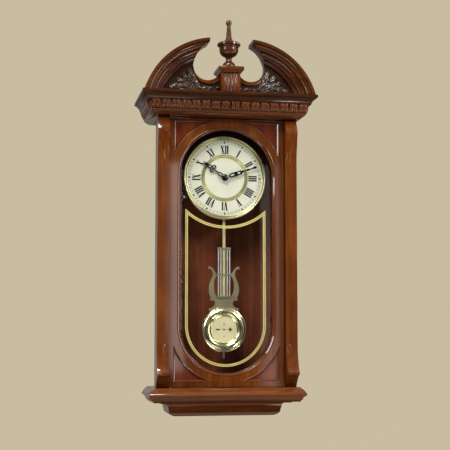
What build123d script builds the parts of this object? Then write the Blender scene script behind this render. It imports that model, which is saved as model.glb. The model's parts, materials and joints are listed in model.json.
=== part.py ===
from build123d import *
import os
from math import asin, cos, radians, sin, sqrt

# Schoolhouse wall clock with a broken-arch pediment, a full-length door and a lyre pendulum.
# Millimetres. +Z is up, the front faces -Y and the wall is the plane y = 0. The origin is the
# centre of the hanger hole in the back. A "height" is measured from the underside of the base,
# a "depth" is measured forward from the wall, and half widths are measured from x = 0.

os.makedirs("parts", exist_ok=True)

# ---------------------------------------------------------------- driving dimensions

hanger_height = 720.0       # hanger hole above the underside of the base

side_outer = 166.0          # half width over the case sides
side_thickness = 12.0
side_depth = 112.0          # the case sides run from the wall to behind the pilasters
back_thickness = 9.0

base_step = 33.2            # underside of the wide base moulding
base_top = 71.9
base_front = 129.1          # depth of the board inside the base moulding
drop_half = 120.0           # half width of the block inside the drop under the base
drop_front = 83.1

cornice_bottom = 750.9
dentil_bottom = 764.0
crown_bottom = 783.6
crown_top = 807.2
frieze_front = 139.9        # depth of the rail inside the cornice

pilaster_inner = 148.85
pilaster_outer = 178.4
pilaster_front = 143.5

door_half = 147.5
door_bottom = 73.4
door_top = 749.4
door_back = 110.7
door_front = 130.7
opening_half = 125.9        # outer edge of the bevel round the door opening
bevel_width = 7.4           # the bevel runs in this far across the door and bevel_depth into it
bevel_depth = 5.0
dial_height = 602.4         # height of the dial centre and of the upper opening arc
lower_arc_height = 226.0    # height of the centre of the lower opening arc

arch_centre = 36.5          # half distance between the centres of the pediment arches
arch_centre_height = 754.5
arch_outer = 188.0
arch_inner = 145.0
arch_front = 195.0
arch_back = 136.0
arch_tip = 55.0             # half gap between the tips of the arches
cutout_centre = 51.5
cutout_height = 872.0
cutout_radius = 40.0
board_front = 156.0         # depth of the face of the pediment boards
board_back = 138.0

plinth_half = 24.0
plinth_front = 184.0
plinth_back = 126.0
plinth_top = 858.0
cap_top = 873.0
finial_depth = 155.0

dial_radius = 106.0
dial_face = 97.0            # depth of the face of the dial
bezel_inner = 97.4
bezel_outer = 108.0

pendulum_pivot_height = 566.0
bob_height = 215.6
bob_radius = 57.0

gear_centre_distance = 10.0
motion_module = 0.5         # cannon pinion and minute wheel
hour_module = 0.4           # minute pinion and hour wheel
minute_hand_angle = 70.2    # clockwise from twelve
hour_hand_angle = 305.85

bracket_sheet = 1.5         # sheet of the bracket that carries the movement

sides = {"left": -1, "right": 1}
signs = tuple(sides.values())


# ---------------------------------------------------------------- helpers

def up(height):
    """Z of a height above the underside of the base."""
    return height - hanger_height


def front_plane(depth):
    """Upright plane at a depth: local x is X, local y is Z, and it faces forward."""
    return Plane.XZ.offset(depth)


def save(piece, name):
    """Label a finished piece and write it."""
    piece.part.label = name
    export_step(piece.part, f"parts/{name}.step")


def board(name, half_width, back, front, bottom, top):
    """Plain board across the clock, centred on x = 0."""
    with BuildPart() as plank:
        with BuildSketch(front_plane(back)):
            with Locations((0, up((bottom + top) / 2))):
                Rectangle(2 * half_width, top - bottom)
        extrude(amount=front - back)
    save(plank, name)


def wrap_moulding(half_width, depth, outline):
    """Moulding mitred round the left side, the front and the right side of a box.

    outline draws the closed section: local x is the distance out from the box and local y is Z.
    """
    with BuildLine() as route:
        Polyline((-half_width, 0, 0), (-half_width, -depth, 0),
                 (half_width, -depth, 0), (half_width, 0, 0))
    section_plane = Plane(origin=(-half_width, 0, 0), x_dir=(-1, 0, 0), z_dir=(0, 1, 0))
    with BuildPart() as moulding:
        with BuildSketch(section_plane):
            with BuildLine():
                outline()
            make_face()
        sweep(path=route.line, transition=Transition.RIGHT)
    return moulding


def turned(depth, outline):
    """Solid turned about the upright axis at x = 0 and the given depth: outline is (radius, Z)."""
    with BuildPart() as turning:
        with BuildSketch(Plane.XZ.offset(depth)):
            with BuildLine():
                outline()
            make_face()
        revolve(axis=Axis((0, -depth, 0), (0, 0, 1)))
    return turning


def gear_outline(centre_x, centre_height, teeth, module, phase):
    """Toothed outline with straight flanks, room for backlash, and a tooth centred on phase."""
    pitch_radius = teeth * module / 2
    root_radius = pitch_radius - 1.25 * module
    tip_radius = pitch_radius + 0.85 * module
    pitch_angle = 360 / teeth
    root_half = 0.27 * pitch_angle
    tip_half = 0.10 * pitch_angle
    corners = []
    for tooth in range(teeth):
        middle = phase + tooth * pitch_angle
        for radius, angle in (
            (root_radius, middle - root_half),
            (tip_radius, middle - tip_half),
            (tip_radius, middle + tip_half),
            (root_radius, middle + root_half),
        ):
            corners.append((centre_x + radius * cos(radians(angle)),
                            up(centre_height) + radius * sin(radians(angle))))
    Polyline(*corners, close=True)


# ---------------------------------------------------------------- case

access_half = 27.0          # opening in the back for the battery and the setting knob
access_bottom = 566.0
access_top = 640.0
panel_half = side_outer - side_thickness
panel_top = crown_top - 7
panel_middle = (base_top + panel_top) / 2
plate_half = 16.0           # steel hanger plate
plate_top = 28.0
plate_bottom = -20.0
plate_thickness = 2.0
hanger_radius = 5.0
screw_radius = 1.5
hanger_screw_sites = [(x, z) for x in (-11, 11) for z in (plate_bottom + 6, plate_top - 6)]
bracket_screw_sites = [(x, up(z)) for x in (-38, 38) for z in (585, 627)]

with BuildPart() as back_panel:
    with BuildSketch(front_plane(0)):
        with Locations((0, up(panel_middle))):
            Rectangle(2 * panel_half, panel_top - base_top)
        with Locations((0, up((access_bottom + access_top) / 2))):
            Rectangle(2 * access_half, access_top - access_bottom, mode=Mode.SUBTRACT)
    extrude(amount=back_thickness)
    with BuildSketch(front_plane(0)):
        with Locations((0, (plate_top + plate_bottom) / 2)):
            Rectangle(2 * plate_half, plate_top - plate_bottom)
    extrude(amount=plate_thickness, mode=Mode.SUBTRACT)
    with BuildSketch(front_plane(plate_thickness)):
        with Locations((0, 5)):
            SlotCenterToCenter(14, 16, rotation=90)
    extrude(amount=5, mode=Mode.SUBTRACT)
    with BuildSketch(front_plane(0)):
        with Locations(*hanger_screw_sites):
            Circle(screw_radius)
    extrude(amount=7.5, mode=Mode.SUBTRACT)
    with BuildSketch(front_plane(back_thickness)):
        with Locations(*bracket_screw_sites):
            Circle(screw_radius)
    extrude(amount=-7.5, mode=Mode.SUBTRACT)
save(back_panel, "back_panel")

with BuildPart() as hanger_plate:
    with BuildSketch(front_plane(0)):
        with Locations((0, (plate_top + plate_bottom) / 2)):
            Rectangle(2 * plate_half, plate_top - plate_bottom)
        Circle(hanger_radius, mode=Mode.SUBTRACT)
        with Locations((0, 6.5)):
            SlotCenterToCenter(9, 4.4, rotation=90, mode=Mode.SUBTRACT)
        with Locations(*hanger_screw_sites):
            Circle(screw_radius, mode=Mode.SUBTRACT)
    extrude(amount=plate_thickness)
save(hanger_plate, "hanger_plate")

with BuildPart() as wood_screws:
    with BuildSketch(front_plane(0)):
        with Locations(*hanger_screw_sites):
            Circle(screw_radius)
    extrude(amount=7.5)
    with BuildSketch(front_plane(back_thickness - 7.5)):
        with Locations(*bracket_screw_sites):
            Circle(screw_radius)
    extrude(amount=7.5 + bracket_sheet)
    with BuildSketch(front_plane(back_thickness + bracket_sheet)):
        with Locations(*bracket_screw_sites):
            Circle(3.0)
    extrude(amount=1.6, taper=20)
save(wood_screws, "wood_screws")

for word, side in sides.items():
    with BuildPart() as case_side:
        with BuildSketch(front_plane(0)):
            with Locations((side * (side_outer - side_thickness / 2), up(panel_middle))):
                Rectangle(side_thickness, panel_top - base_top)
        extrude(amount=side_depth)
    save(case_side, f"case_side_{word}")

stop_width = 14.0
stop_back = 97.0
stop_front = 109.2
with BuildPart() as door_stops:
    with BuildSketch(front_plane(stop_back)):
        with Locations(*[(side * (panel_half - stop_width / 2), up(panel_middle - 25)) for side in signs]):
            Rectangle(stop_width, panel_top - base_top - 52)
    extrude(amount=stop_front - stop_back)
save(door_stops, "door_stops")

board("top_board", side_outer, 0, frieze_front, panel_top, crown_top)

pivot_x = -door_half + 6.0              # door pivot, close to the front left corner
pivot_depth = door_front - 3.5
pivot_radius = 1.25
pin_length = 8.0                        # length of pivot pin held in a board

with BuildPart() as case_bottom:
    with BuildSketch(front_plane(0)):
        with Locations((0, up((base_step + base_top) / 2))):
            Rectangle(2 * side_outer, base_top - base_step)
    extrude(amount=base_front)
    with BuildSketch(Plane.XY.offset(up(base_top))):
        with Locations((pivot_x, -pivot_depth)):
            Circle(pivot_radius)
    extrude(amount=-pin_length, mode=Mode.SUBTRACT)
save(case_bottom, "case_bottom")

with BuildPart() as frieze_rail:
    with BuildSketch(front_plane(side_depth)):
        with Locations((0, up((cornice_bottom + panel_top) / 2))):
            Rectangle(2 * side_outer, panel_top - cornice_bottom)
    extrude(amount=frieze_front - side_depth)
    with BuildSketch(Plane.XY.offset(up(cornice_bottom))):
        with Locations((pivot_x, -pivot_depth)):
            Circle(pivot_radius)
    extrude(amount=pin_length, mode=Mode.SUBTRACT)
save(frieze_rail, "frieze_rail")


# ---------------------------------------------------------------- mouldings

# Each outline goes round a moulding's section: distance out from the box, then height.

def crown_outline():
    Polyline((42.3, up(crown_bottom)), (0, up(crown_bottom)), (0, up(crown_top)), (56.5, up(crown_top)),
             (56.5, up(800.5)), (54.0, up(799.5)))
    RadiusArc((54.0, up(799.5)), (42.3, up(crown_bottom)), -22)


def dentil_band_outline():
    Polyline((34.0, up(dentil_bottom)), (0, up(dentil_bottom)), (0, up(crown_bottom)),
             (37.0, up(crown_bottom)), (34.0, up(dentil_bottom)))


def bed_outline():
    Polyline((11.1, up(cornice_bottom)), (0, up(cornice_bottom)), (0, up(dentil_bottom)),
             (32.0, up(dentil_bottom)), (32.0, up(761.0)))
    RadiusArc((32.0, up(761.0)), (11.1, up(cornice_bottom)), 26)


def base_outline():
    Polyline((0, up(base_top)), (18.5, up(base_top)), (19.5, up(70.0)))
    RadiusArc((19.5, up(70.0)), (31.0, up(57.5)), 30)
    Polyline((31.0, up(57.5)), (32.6, up(54.6)), (31.0, up(51.5)))
    RadiusArc((31.0, up(51.5)), (22.2, up(41.5)), -16)
    Polyline((22.2, up(41.5)), (22.2, up(40.0)), (19.0, up(40.0)), (19.0, up(base_step + 3)),
             (0, up(base_step + 3)), (0, up(base_top)))


def drop_outline():
    Line((0, up(0)), (5.6, up(0)))
    RadiusArc((5.6, up(0)), (21.1, up(9.0)), -24)
    Line((21.1, up(9.0)), (25.0, up(26.0)))
    RadiusArc((25.0, up(26.0)), (33.1, up(base_step)), 9)
    Polyline((33.1, up(base_step)), (0, up(base_step)), (0, up(0)))


crown_moulding = wrap_moulding(side_outer, frieze_front, crown_outline)
save(crown_moulding, "crown_moulding")

bed_moulding = wrap_moulding(side_outer, frieze_front, bed_outline)
save(bed_moulding, "bed_moulding")

base_moulding = wrap_moulding(side_outer, base_front, base_outline)
save(base_moulding, "base_moulding")

drop_skirt = wrap_moulding(drop_half, drop_front, drop_outline)
with BuildPart() as base_drop:
    add(drop_skirt.part)
    with BuildSketch(front_plane(0)):
        with Locations((0, up(base_step / 2))):
            Rectangle(2 * drop_half, base_step)
    extrude(amount=drop_front)
save(base_drop, "base_drop")

dentil_pitch = 25.0
reed_offset = 5.0           # each dentil is a pair of reeds, this far from its middle
reed_width = 8.8
front_dentils = 16
side_dentils = 6
first_side_dentil = 20.0    # depth of the middle of the dentil nearest the wall
reed_back = 32.0            # a reed's section, as distances out from the box
reed_foot = 34.0
reed_head = 42.0
reed_bulge = 24.0
front_reeds = [(dentil - (front_dentils - 1) / 2) * dentil_pitch + pair * reed_offset
               for dentil in range(front_dentils) for pair in signs]
side_reeds = [-first_side_dentil - dentil * dentil_pitch + pair * reed_offset
              for dentil in range(side_dentils) for pair in signs]


def reed_outline(box, way):
    """Section of a reed: box is the face it grows from, and way is the sign of the outward direction."""
    Polyline((box + way * reed_foot, up(dentil_bottom)), (box + way * reed_back, up(dentil_bottom)),
             (box + way * reed_back, up(crown_bottom)), (box + way * reed_head, up(crown_bottom)))
    RadiusArc((box + way * reed_head, up(crown_bottom)), (box + way * reed_foot, up(dentil_bottom)),
              way * reed_bulge)


dentil_band = wrap_moulding(side_outer, frieze_front, dentil_band_outline)
with BuildPart() as dentil_moulding:
    add(dentil_band.part)
    with BuildSketch(Plane.YZ, mode=Mode.PRIVATE) as front_section:
        with BuildLine():
            reed_outline(-frieze_front, -1)
        make_face()
    front_reed = extrude(front_section.sketch, amount=reed_width / 2, both=True, mode=Mode.PRIVATE)
    with Locations(*[(x, 0, 0) for x in front_reeds]):
        add(front_reed)
    for side in signs:
        with BuildSketch(Plane.XZ, mode=Mode.PRIVATE) as side_section:
            with BuildLine():
                reed_outline(side * side_outer, side)
            make_face()
        side_reed = extrude(side_section.sketch, amount=reed_width / 2, both=True, mode=Mode.PRIVATE)
        with Locations(*[(0, y, 0) for y in side_reeds]):
            add(side_reed)
save(dentil_moulding, "dentil_moulding")


# ---------------------------------------------------------------- pilasters

for word, side in sides.items():
    with BuildPart() as pilaster:
        with BuildSketch(Plane.YZ.offset(side * (pilaster_inner + pilaster_outer) / 2)):
            with BuildLine():
                Polyline((-128.0, up(base_top)), (-side_depth, up(base_top)),
                         (-side_depth, up(cornice_bottom)), (-140.0, up(cornice_bottom)))
                Spline((-140.0, up(cornice_bottom)), (-150.0, up(731.0)), (-157.0, up(714.0)),
                       tangents=((-0.6, -1.0), (-0.2, -1.0)))
                Spline((-157.0, up(714.0)), (-153.5, up(698.0)), (-pilaster_front, up(640.0)),
                       tangents=((0.3, -1.0), (0.0, -1.0)))
                Line((-pilaster_front, up(640.0)), (-pilaster_front, up(180.0)))
                Spline((-pilaster_front, up(180.0)), (-153.0, up(128.0)), (-161.0, up(112.0)),
                       tangents=((0.0, -1.0), (-0.8, -1.0)))
                ThreePointArc((-161.0, up(112.0)), (-163.4, up(107.0)), (-160.0, up(102.5)))
                Spline((-160.0, up(102.5)), (-146.0, up(94.0)), (-128.0, up(base_top)),
                       tangents=((1.0, -0.3), (0.5, -1.0)))
            make_face()
        extrude(amount=(pilaster_outer - pilaster_inner) / 2, both=True)
    save(pilaster, f"pilaster_{word}")


# ---------------------------------------------------------------- pediment

def cutout_outline(side):
    """Opening of a scroll: a round eye that runs up and inwards to the tip."""
    ThreePointArc((side * 20.0, up(855.0)), (side * cutout_centre, up(cutout_height - cutout_radius)),
                  (side * (cutout_centre + cutout_radius), up(cutout_height)))
    ThreePointArc((side * (cutout_centre + cutout_radius), up(cutout_height)), (side * 81.0, up(910.0)),
                  (side * arch_tip, up(932.5)))
    Polyline((side * arch_tip, up(932.5)), (side * arch_tip, up(960.0)), (side * 20.0, up(960.0)),
             (side * 20.0, up(855.0)))


for word, side in sides.items():
    rim = up(arch_centre_height) + arch_outer
    heel = up(arch_centre_height) + arch_inner
    with BuildPart() as pediment_arch:
        with BuildSketch(Plane.YZ.offset(side * arch_centre)):
            with BuildLine():
                Polyline((-board_front, heel), (-arch_back, heel), (-arch_back, rim), (-arch_front, rim),
                         (-arch_front, rim - 7.0), (-193.0, rim - 8.0))
                RadiusArc((-193.0, rim - 8.0), (-186.0, rim - 16.0), 12)
                RadiusArc((-186.0, rim - 16.0), (-182.5, rim - 20.5), -3)
                RadiusArc((-182.5, rim - 20.5), (-173.0, rim - 31.0), 16)
                RadiusArc((-173.0, rim - 31.0), (-170.0, rim - 34.5), -2.4)
                RadiusArc((-170.0, rim - 34.5), (-163.0, rim - 39.5), 10)
                RadiusArc((-163.0, rim - 39.5), (-159.0, heel), -3)
                Line((-159.0, heel), (-board_front, heel))
            make_face()
        revolve(axis=Axis((side * arch_centre, 0, up(arch_centre_height)), (0, side, 0)), revolution_arc=90)
        with BuildSketch(front_plane(arch_back - 5)):
            with Locations((0, up(crown_top - 40))):
                Rectangle(600, 80)
            Rectangle(2 * arch_tip, 900)
        extrude(amount=arch_front - arch_back + 10, mode=Mode.SUBTRACT)
        with BuildSketch(front_plane(arch_back - 5)):
            with BuildLine():
                cutout_outline(side)
            make_face()
        extrude(amount=arch_front - arch_back + 10, mode=Mode.SUBTRACT)
    save(pediment_arch, f"pediment_arch_{word}")

    with BuildPart() as pediment_board:
        with BuildSketch(front_plane(board_back)):
            with Locations((side * arch_centre, up(arch_centre_height))):
                Circle(arch_inner)
            with Locations((0, up(crown_top - 250))):
                Rectangle(600, 500, mode=Mode.SUBTRACT)
            with Locations((-side * (300 - plinth_half), up(850))):
                Rectangle(600, 600, mode=Mode.SUBTRACT)
        extrude(amount=board_front - board_back)
        with BuildSketch(front_plane(board_back)):
            with BuildLine():
                cutout_outline(side)
            make_face()
        extrude(amount=board_front - board_back, mode=Mode.SUBTRACT)
    save(pediment_board, f"pediment_board_{word}")

    with BuildPart() as pediment_carving:
        with BuildSketch(front_plane(board_front)):
            with BuildLine():
                Spline((side * 31.0, up(811.0)), (side * 31.0, up(822.0)), (side * 62.0, up(824.0)),
                       (side * 84.0, up(835.0)), (side * 97.0, up(856.0)), (side * 101.0, up(876.0)))
                Spline((side * 101.0, up(876.0)), (side * 112.0, up(850.0)), (side * 130.0, up(828.0)),
                       (side * 150.0, up(811.0)))
                Line((side * 150.0, up(811.0)), (side * 31.0, up(811.0)))
            make_face()
        extrude(amount=8.0)
    save(pediment_carving, f"pediment_carving_{word}")

plinth_middle = (plinth_front + plinth_back) / 2
plinth_length = plinth_front - plinth_back
flute_sites = [(x, -plinth_front - 1.0) for x in (-13.5, -4.5, 4.5, 13.5)]
flute_radius = 3.4
cap_foot = 4.0              # the cap's foot is this much wider than the plinth, and its slab this much
cap_slab = 17.0
slab_bottom = plinth_top + 6.0

with BuildPart() as finial_plinth:
    with BuildSketch(Plane.XY.offset(up(crown_top))):
        with Locations((0, -plinth_middle)):
            Rectangle(2 * plinth_half, plinth_length)
        with Locations(*flute_sites):
            Circle(flute_radius, mode=Mode.SUBTRACT)
    extrude(amount=plinth_top - crown_top)
save(finial_plinth, "finial_plinth")

with BuildPart() as plinth_cap:
    with BuildSketch(Plane.XY.offset(up(plinth_top))):
        with Locations((0, -plinth_middle)):
            Rectangle(2 * plinth_half + cap_foot, plinth_length + cap_foot)
    extrude(amount=slab_bottom - plinth_top, taper=-35)
    with BuildSketch(Plane.XY.offset(up(slab_bottom))):
        with Locations((0, -plinth_middle)):
            Rectangle(2 * plinth_half + cap_slab, plinth_length + cap_slab)
    extrude(amount=cap_top - slab_bottom)
    fillet(plinth_cap.faces().sort_by(Axis.Z)[-1].edges(), radius=3.0)
save(plinth_cap, "plinth_cap")


def finial_outline():
    Polyline((0, up(cap_top)), (16.6, up(cap_top)), (16.6, up(878)))
    ThreePointArc((16.6, up(878)), (14.6, up(886)), (8.6, up(891)))
    ThreePointArc((8.6, up(891)), (7.6, up(898)), (11.9, up(904)))
    ThreePointArc((11.9, up(904)), (21.4, up(911.5)), (24.2, up(923)))
    ThreePointArc((24.2, up(923)), (24.9, up(928)), (28.0, up(931.5)))
    Polyline((28.0, up(931.5)), (29.6, up(933)), (29.6, up(937)), (26.0, up(940)))
    ThreePointArc((26.0, up(940)), (14.5, up(942.5)), (9.6, up(948)))
    Polyline((9.6, up(948)), (7.3, up(953)), (4.6, up(985.8)))
    ThreePointArc((4.6, up(985.8)), (7.7, up(992.0)), (1.0, up(999.6)))
    Polyline((1.0, up(999.6)), (0, up(999.6)), (0, up(cap_top)))


finial = turned(finial_depth, finial_outline)
save(finial, "finial")


# ---------------------------------------------------------------- door

opening_inner = opening_half - bevel_width
rabbet_depth = 4.0
glass_half = 122.0
glass_thickness = 2.5
recess_arc = 147.0          # radius of the long side of a corner panel, about an arc centre
recess_edge = 131.0         # half width to the upright side of a corner panel
recess_top = 738.5
recess_bottom = 91.5
recess_depth = 5.0
recess_slope_width = 3.4    # sloped rim round a corner recess
recess_slope_depth = 2.4
corner_panel_thickness = 6.0
bush_radius = 2.0
bush_length = 10.0
opening_middle = (dial_height + lower_arc_height) / 2
opening_span = dial_height - lower_arc_height


def corner_outline(side, arc_height, level, grown=0.0):
    """Three-sided corner panel between an upright, a level edge and an arc round the opening.

    grown moves all three sides outwards.
    """
    rise = 1 if level > arc_height else -1
    arc = recess_arc - grown
    edge = recess_edge + grown
    end = level + rise * grown
    low = arc_height + rise * sqrt(arc**2 - edge**2)
    reach = sqrt(arc**2 - (end - arc_height)**2)
    halfway = (asin(abs(low - arc_height) / arc) + asin(abs(end - arc_height) / arc)) / 2
    middle = (side * arc * cos(halfway), up(arc_height + rise * arc * sin(halfway)))
    Polyline((side * edge, up(low)), (side * edge, up(end)), (side * reach, up(end)))
    ThreePointArc((side * reach, up(end)), middle, (side * edge, up(low)))


corners = [(side, arc_height, level) for side in signs
           for arc_height, level in ((dial_height, recess_top), (lower_arc_height, recess_bottom))]

with BuildPart() as door_frame:
    with BuildSketch(front_plane(door_back)):
        with Locations((0, up((door_bottom + door_top) / 2))):
            Rectangle(2 * door_half, door_top - door_bottom)
        with Locations((0, up(opening_middle))):
            SlotCenterToCenter(opening_span, 2 * opening_inner, rotation=90, mode=Mode.SUBTRACT)
    extrude(amount=door_front - door_back)
    face = door_frame.faces().sort_by(Axis.Y)[0]
    chamfer(face.inner_wires()[0].edges(), length=bevel_width, length2=bevel_depth, reference=face)
    with BuildSketch(front_plane(door_back)):
        with Locations((0, up(opening_middle))):
            SlotCenterToCenter(opening_span, 2 * glass_half, rotation=90)
    extrude(amount=rabbet_depth, mode=Mode.SUBTRACT)
    for side, arc_height, level in corners:
        with BuildSketch(front_plane(door_front - recess_depth - corner_panel_thickness)):
            with BuildLine():
                corner_outline(side, arc_height, level)
            make_face()
        extrude(amount=recess_depth + corner_panel_thickness, mode=Mode.SUBTRACT)
        with BuildLine(front_plane(door_front), mode=Mode.PRIVATE) as rim:
            corner_outline(side, arc_height, level, recess_slope_width)
        with BuildLine(front_plane(door_front - recess_slope_depth), mode=Mode.PRIVATE) as foot:
            corner_outline(side, arc_height, level)
        add(Solid.make_loft([rim.wire(), foot.wire()], ruled=True), mode=Mode.SUBTRACT)
    for level, inward in ((door_top, -1), (door_bottom, 1)):
        with BuildSketch(Plane.XY.offset(up(level))):
            with Locations((pivot_x, -pivot_depth)):
                Circle(bush_radius)
        extrude(amount=inward * bush_length, mode=Mode.SUBTRACT)
save(door_frame, "door_frame")

with BuildPart() as corner_panels:
    for side, arc_height, level in corners:
        with BuildSketch(front_plane(door_front - recess_depth - corner_panel_thickness)):
            with BuildLine():
                corner_outline(side, arc_height, level)
            make_face()
        extrude(amount=corner_panel_thickness)
save(corner_panels, "corner_panels")

with BuildPart() as door_glass:
    with BuildSketch(front_plane(door_back + rabbet_depth - glass_thickness)):
        with Locations((0, up(opening_middle))):
            SlotCenterToCenter(opening_span, 2 * (glass_half - 0.3), rotation=90)
    extrude(amount=glass_thickness)
save(door_glass, "door_glass")

with BuildPart() as hinge_bushes:
    for level, inward in ((door_top, -1), (door_bottom, 1)):
        with BuildSketch(Plane.XY.offset(up(level))):
            with Locations((pivot_x, -pivot_depth)):
                Circle(bush_radius)
                Circle(pivot_radius + 0.06, mode=Mode.SUBTRACT)
        extrude(amount=inward * bush_length)
save(hinge_bushes, "hinge_bushes")

with BuildPart() as hinge_pins:
    for board_level, door_level, inward in ((cornice_bottom, door_top, -1), (base_top, door_bottom, 1)):
        with BuildSketch(Plane.XY.offset(up(board_level) - inward * pin_length)):
            with Locations((pivot_x, -pivot_depth)):
                Circle(pivot_radius)
        extrude(amount=inward * (2 * pin_length + abs(board_level - door_level)))
save(hinge_pins, "hinge_pins")

clip_thickness = 0.8
clip_height = 10.0
clip_inner = 117.0          # half widths of a clip's tongue on the glass and of its outer end
clip_outer = 132.0
clip_step = 121.5           # half width at which the tongue steps down to the glass
clip_screw = 127.5
clip_head_radius = 2.4
clip_levels = (240.0, 355.0, 470.0, 585.0)
with BuildPart() as glass_clips:
    for side in signs:
        for level in clip_levels:
            with BuildSketch(front_plane(door_back - clip_thickness)):
                with Locations((side * (clip_inner + clip_outer) / 2, up(level))):
                    Rectangle(clip_outer - clip_inner, clip_height)
            extrude(amount=clip_thickness)
            with BuildSketch(front_plane(door_back)):
                with Locations((side * (clip_inner + clip_step) / 2, up(level))):
                    Rectangle(clip_step - clip_inner, clip_height)
            extrude(amount=rabbet_depth - glass_thickness)
            with BuildSketch(front_plane(door_back - clip_thickness)):
                with Locations((side * clip_screw, up(level))):
                    Circle(clip_head_radius)
            extrude(amount=-1.0)
save(glass_clips, "glass_clips")

catch_level = 410.0
catch_x = 135.0
strike_gap = 0.4            # air between the magnet and its strike with the door shut
with BuildPart() as catch_strike:
    with BuildSketch(front_plane(door_back - clip_thickness)):
        with Locations((catch_x + 0.5, up(catch_level))):
            Rectangle(8.0, 22.0)
    extrude(amount=clip_thickness)
save(catch_strike, "catch_strike")

with BuildPart() as catch_magnet:
    with BuildSketch(front_plane(stop_back)):
        with Locations((catch_x, up(catch_level))):
            Rectangle(10.0, 26.0)
    extrude(amount=door_back - clip_thickness - strike_gap - stop_back)
    with Locations((catch_x, -stop_back, up(catch_level))):
        Box(10.0, 1.0, 40.0, align=(Align.CENTER, Align.MAX, Align.CENTER))
save(catch_magnet, "catch_magnet")


# ---------------------------------------------------------------- dial and movement

case_half = 28.0
case_top = 630.4
case_foot = 540.0
case_back = 78.0
case_split = 86.0
case_front = 95.0
case_wall = 1.5
bush_outer = 4.5            # threaded bush through the dial
bush_inner = 3.0
bush_end = 101.0
wheel_x = gear_centre_distance
pivot_pin_radius = 1.0
rod_slot_half = 9.0
dial_axis = Axis((0, 0, up(dial_height)), (0, 1, 0))
case_middle = (case_top + case_foot) / 2
bracket_bottom = 572.0
bracket_height = 68.0
bracket_inner = case_half + 0.4
bracket_outer = bracket_inner + bracket_sheet
bracket_foot = 45.0         # half width over the bracket's feet
bracket_face = case_front + 1.0

with BuildPart() as movement_bracket:
    with BuildSketch(Plane.XY.offset(up(bracket_bottom))):
        with BuildLine():
            Polyline((-bracket_foot, -back_thickness),
                     (-bracket_inner, -back_thickness),
                     (-bracket_inner, -case_front),
                     (bracket_inner, -case_front),
                     (bracket_inner, -back_thickness),
                     (bracket_foot, -back_thickness),
                     (bracket_foot, -back_thickness - bracket_sheet),
                     (bracket_outer, -back_thickness - bracket_sheet),
                     (bracket_outer, -bracket_face),
                     (-bracket_outer, -bracket_face),
                     (-bracket_outer, -back_thickness - bracket_sheet),
                     (-bracket_foot, -back_thickness - bracket_sheet),
                     close=True)
        make_face()
    extrude(amount=bracket_height)
    with BuildSketch(front_plane(case_front)):
        with Locations((0, up(dial_height))):
            Circle(bush_outer)
    extrude(amount=bracket_face - case_front, mode=Mode.SUBTRACT)
    with BuildSketch(front_plane(back_thickness)):
        with Locations(*bracket_screw_sites):
            Circle(screw_radius)
    extrude(amount=bracket_sheet, mode=Mode.SUBTRACT)
save(movement_bracket, "movement_bracket")

with BuildPart() as movement_case_back:
    with BuildSketch(front_plane(case_back)):
        with Locations((0, up(case_middle))):
            Rectangle(2 * case_half, case_top - case_foot)
    extrude(amount=case_split - case_back)
    with BuildSketch(front_plane(case_back + case_wall)):
        with Locations((0, up(case_middle))):
            Rectangle(2 * (case_half - case_wall), case_top - case_foot - 2 * case_wall)
        with Locations((0, up(case_foot))):
            Rectangle(2 * rod_slot_half, 4 * case_wall)
    extrude(amount=case_split - case_back, mode=Mode.SUBTRACT)
    with BuildSketch(front_plane(case_back)):
        with Locations((wheel_x, up(dial_height))):
            Circle(0.85)
    extrude(amount=case_wall, mode=Mode.SUBTRACT)
save(movement_case_back, "movement_case_back")

with BuildPart() as movement_case_front:
    with BuildSketch(front_plane(case_split)):
        with Locations((0, up(case_middle))):
            Rectangle(2 * case_half, case_top - case_foot)
    extrude(amount=case_front - case_split)
    with BuildSketch(front_plane(case_split)):
        with Locations((0, up(case_middle))):
            Rectangle(2 * (case_half - case_wall), case_top - case_foot - 2 * case_wall)
        with Locations((0, up(case_foot))):
            Rectangle(2 * rod_slot_half, 4 * case_wall)
    extrude(amount=case_front - case_split - case_wall, mode=Mode.SUBTRACT)
    with BuildSketch(front_plane(case_front)):
        with Locations((0, up(dial_height))):
            Circle(bush_outer)
    extrude(amount=bush_end - case_front)
    with BuildSketch(front_plane(case_front - case_wall)):
        with Locations((0, up(dial_height))):
            Circle(bush_inner)
    extrude(amount=bush_end - case_front + case_wall, mode=Mode.SUBTRACT)
save(movement_case_front, "movement_case_front")

battery_axis = (-86.5, up(580.0))
battery_end = -24.0
battery_length = 46.0
with BuildPart() as battery:
    with BuildSketch(Plane.YZ.offset(battery_end)):
        with Locations(battery_axis):
            Circle(6.9)
    extrude(amount=battery_length)
    with BuildSketch(Plane.YZ.offset(battery_end + battery_length)):
        with Locations(battery_axis):
            Circle(2.6)
    extrude(amount=1.4)
save(battery, "battery")

coil_axis = (-84.5, up(618.0))
coil_end = -24.0
coil_length = 18.0
flange_size = 9.6
flange_thickness = 1.0
with BuildPart() as motor_coil:
    with BuildSketch(Plane.YZ.offset(coil_end)):
        with Locations(coil_axis):
            Circle(3.8)
    extrude(amount=coil_length)
    for end in (coil_end, coil_end + coil_length - flange_thickness):
        with BuildSketch(Plane.YZ.offset(end)):
            with Locations(coil_axis):
                Rectangle(flange_size, flange_size)
        extrude(amount=flange_thickness)
save(motor_coil, "motor_coil")

board_depth = 90.6
with BuildPart() as circuit_board:
    with BuildSketch(front_plane(board_depth)):
        with Locations((-16.0, up(607.5))):
            Rectangle(14.0, 35.0)
    extrude(amount=1.2)
save(circuit_board, "circuit_board")

hanger_magnet_level = 554.0    # the drive coil sits behind a magnet of this height on the hanger
with BuildPart() as drive_coil:
    with BuildSketch(front_plane(case_back + case_wall)):
        with Locations((0, up(hanger_magnet_level))):
            Circle(6.5)
            Circle(2.0, mode=Mode.SUBTRACT)
    extrude(amount=2.5)
save(drive_coil, "drive_coil")

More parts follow.
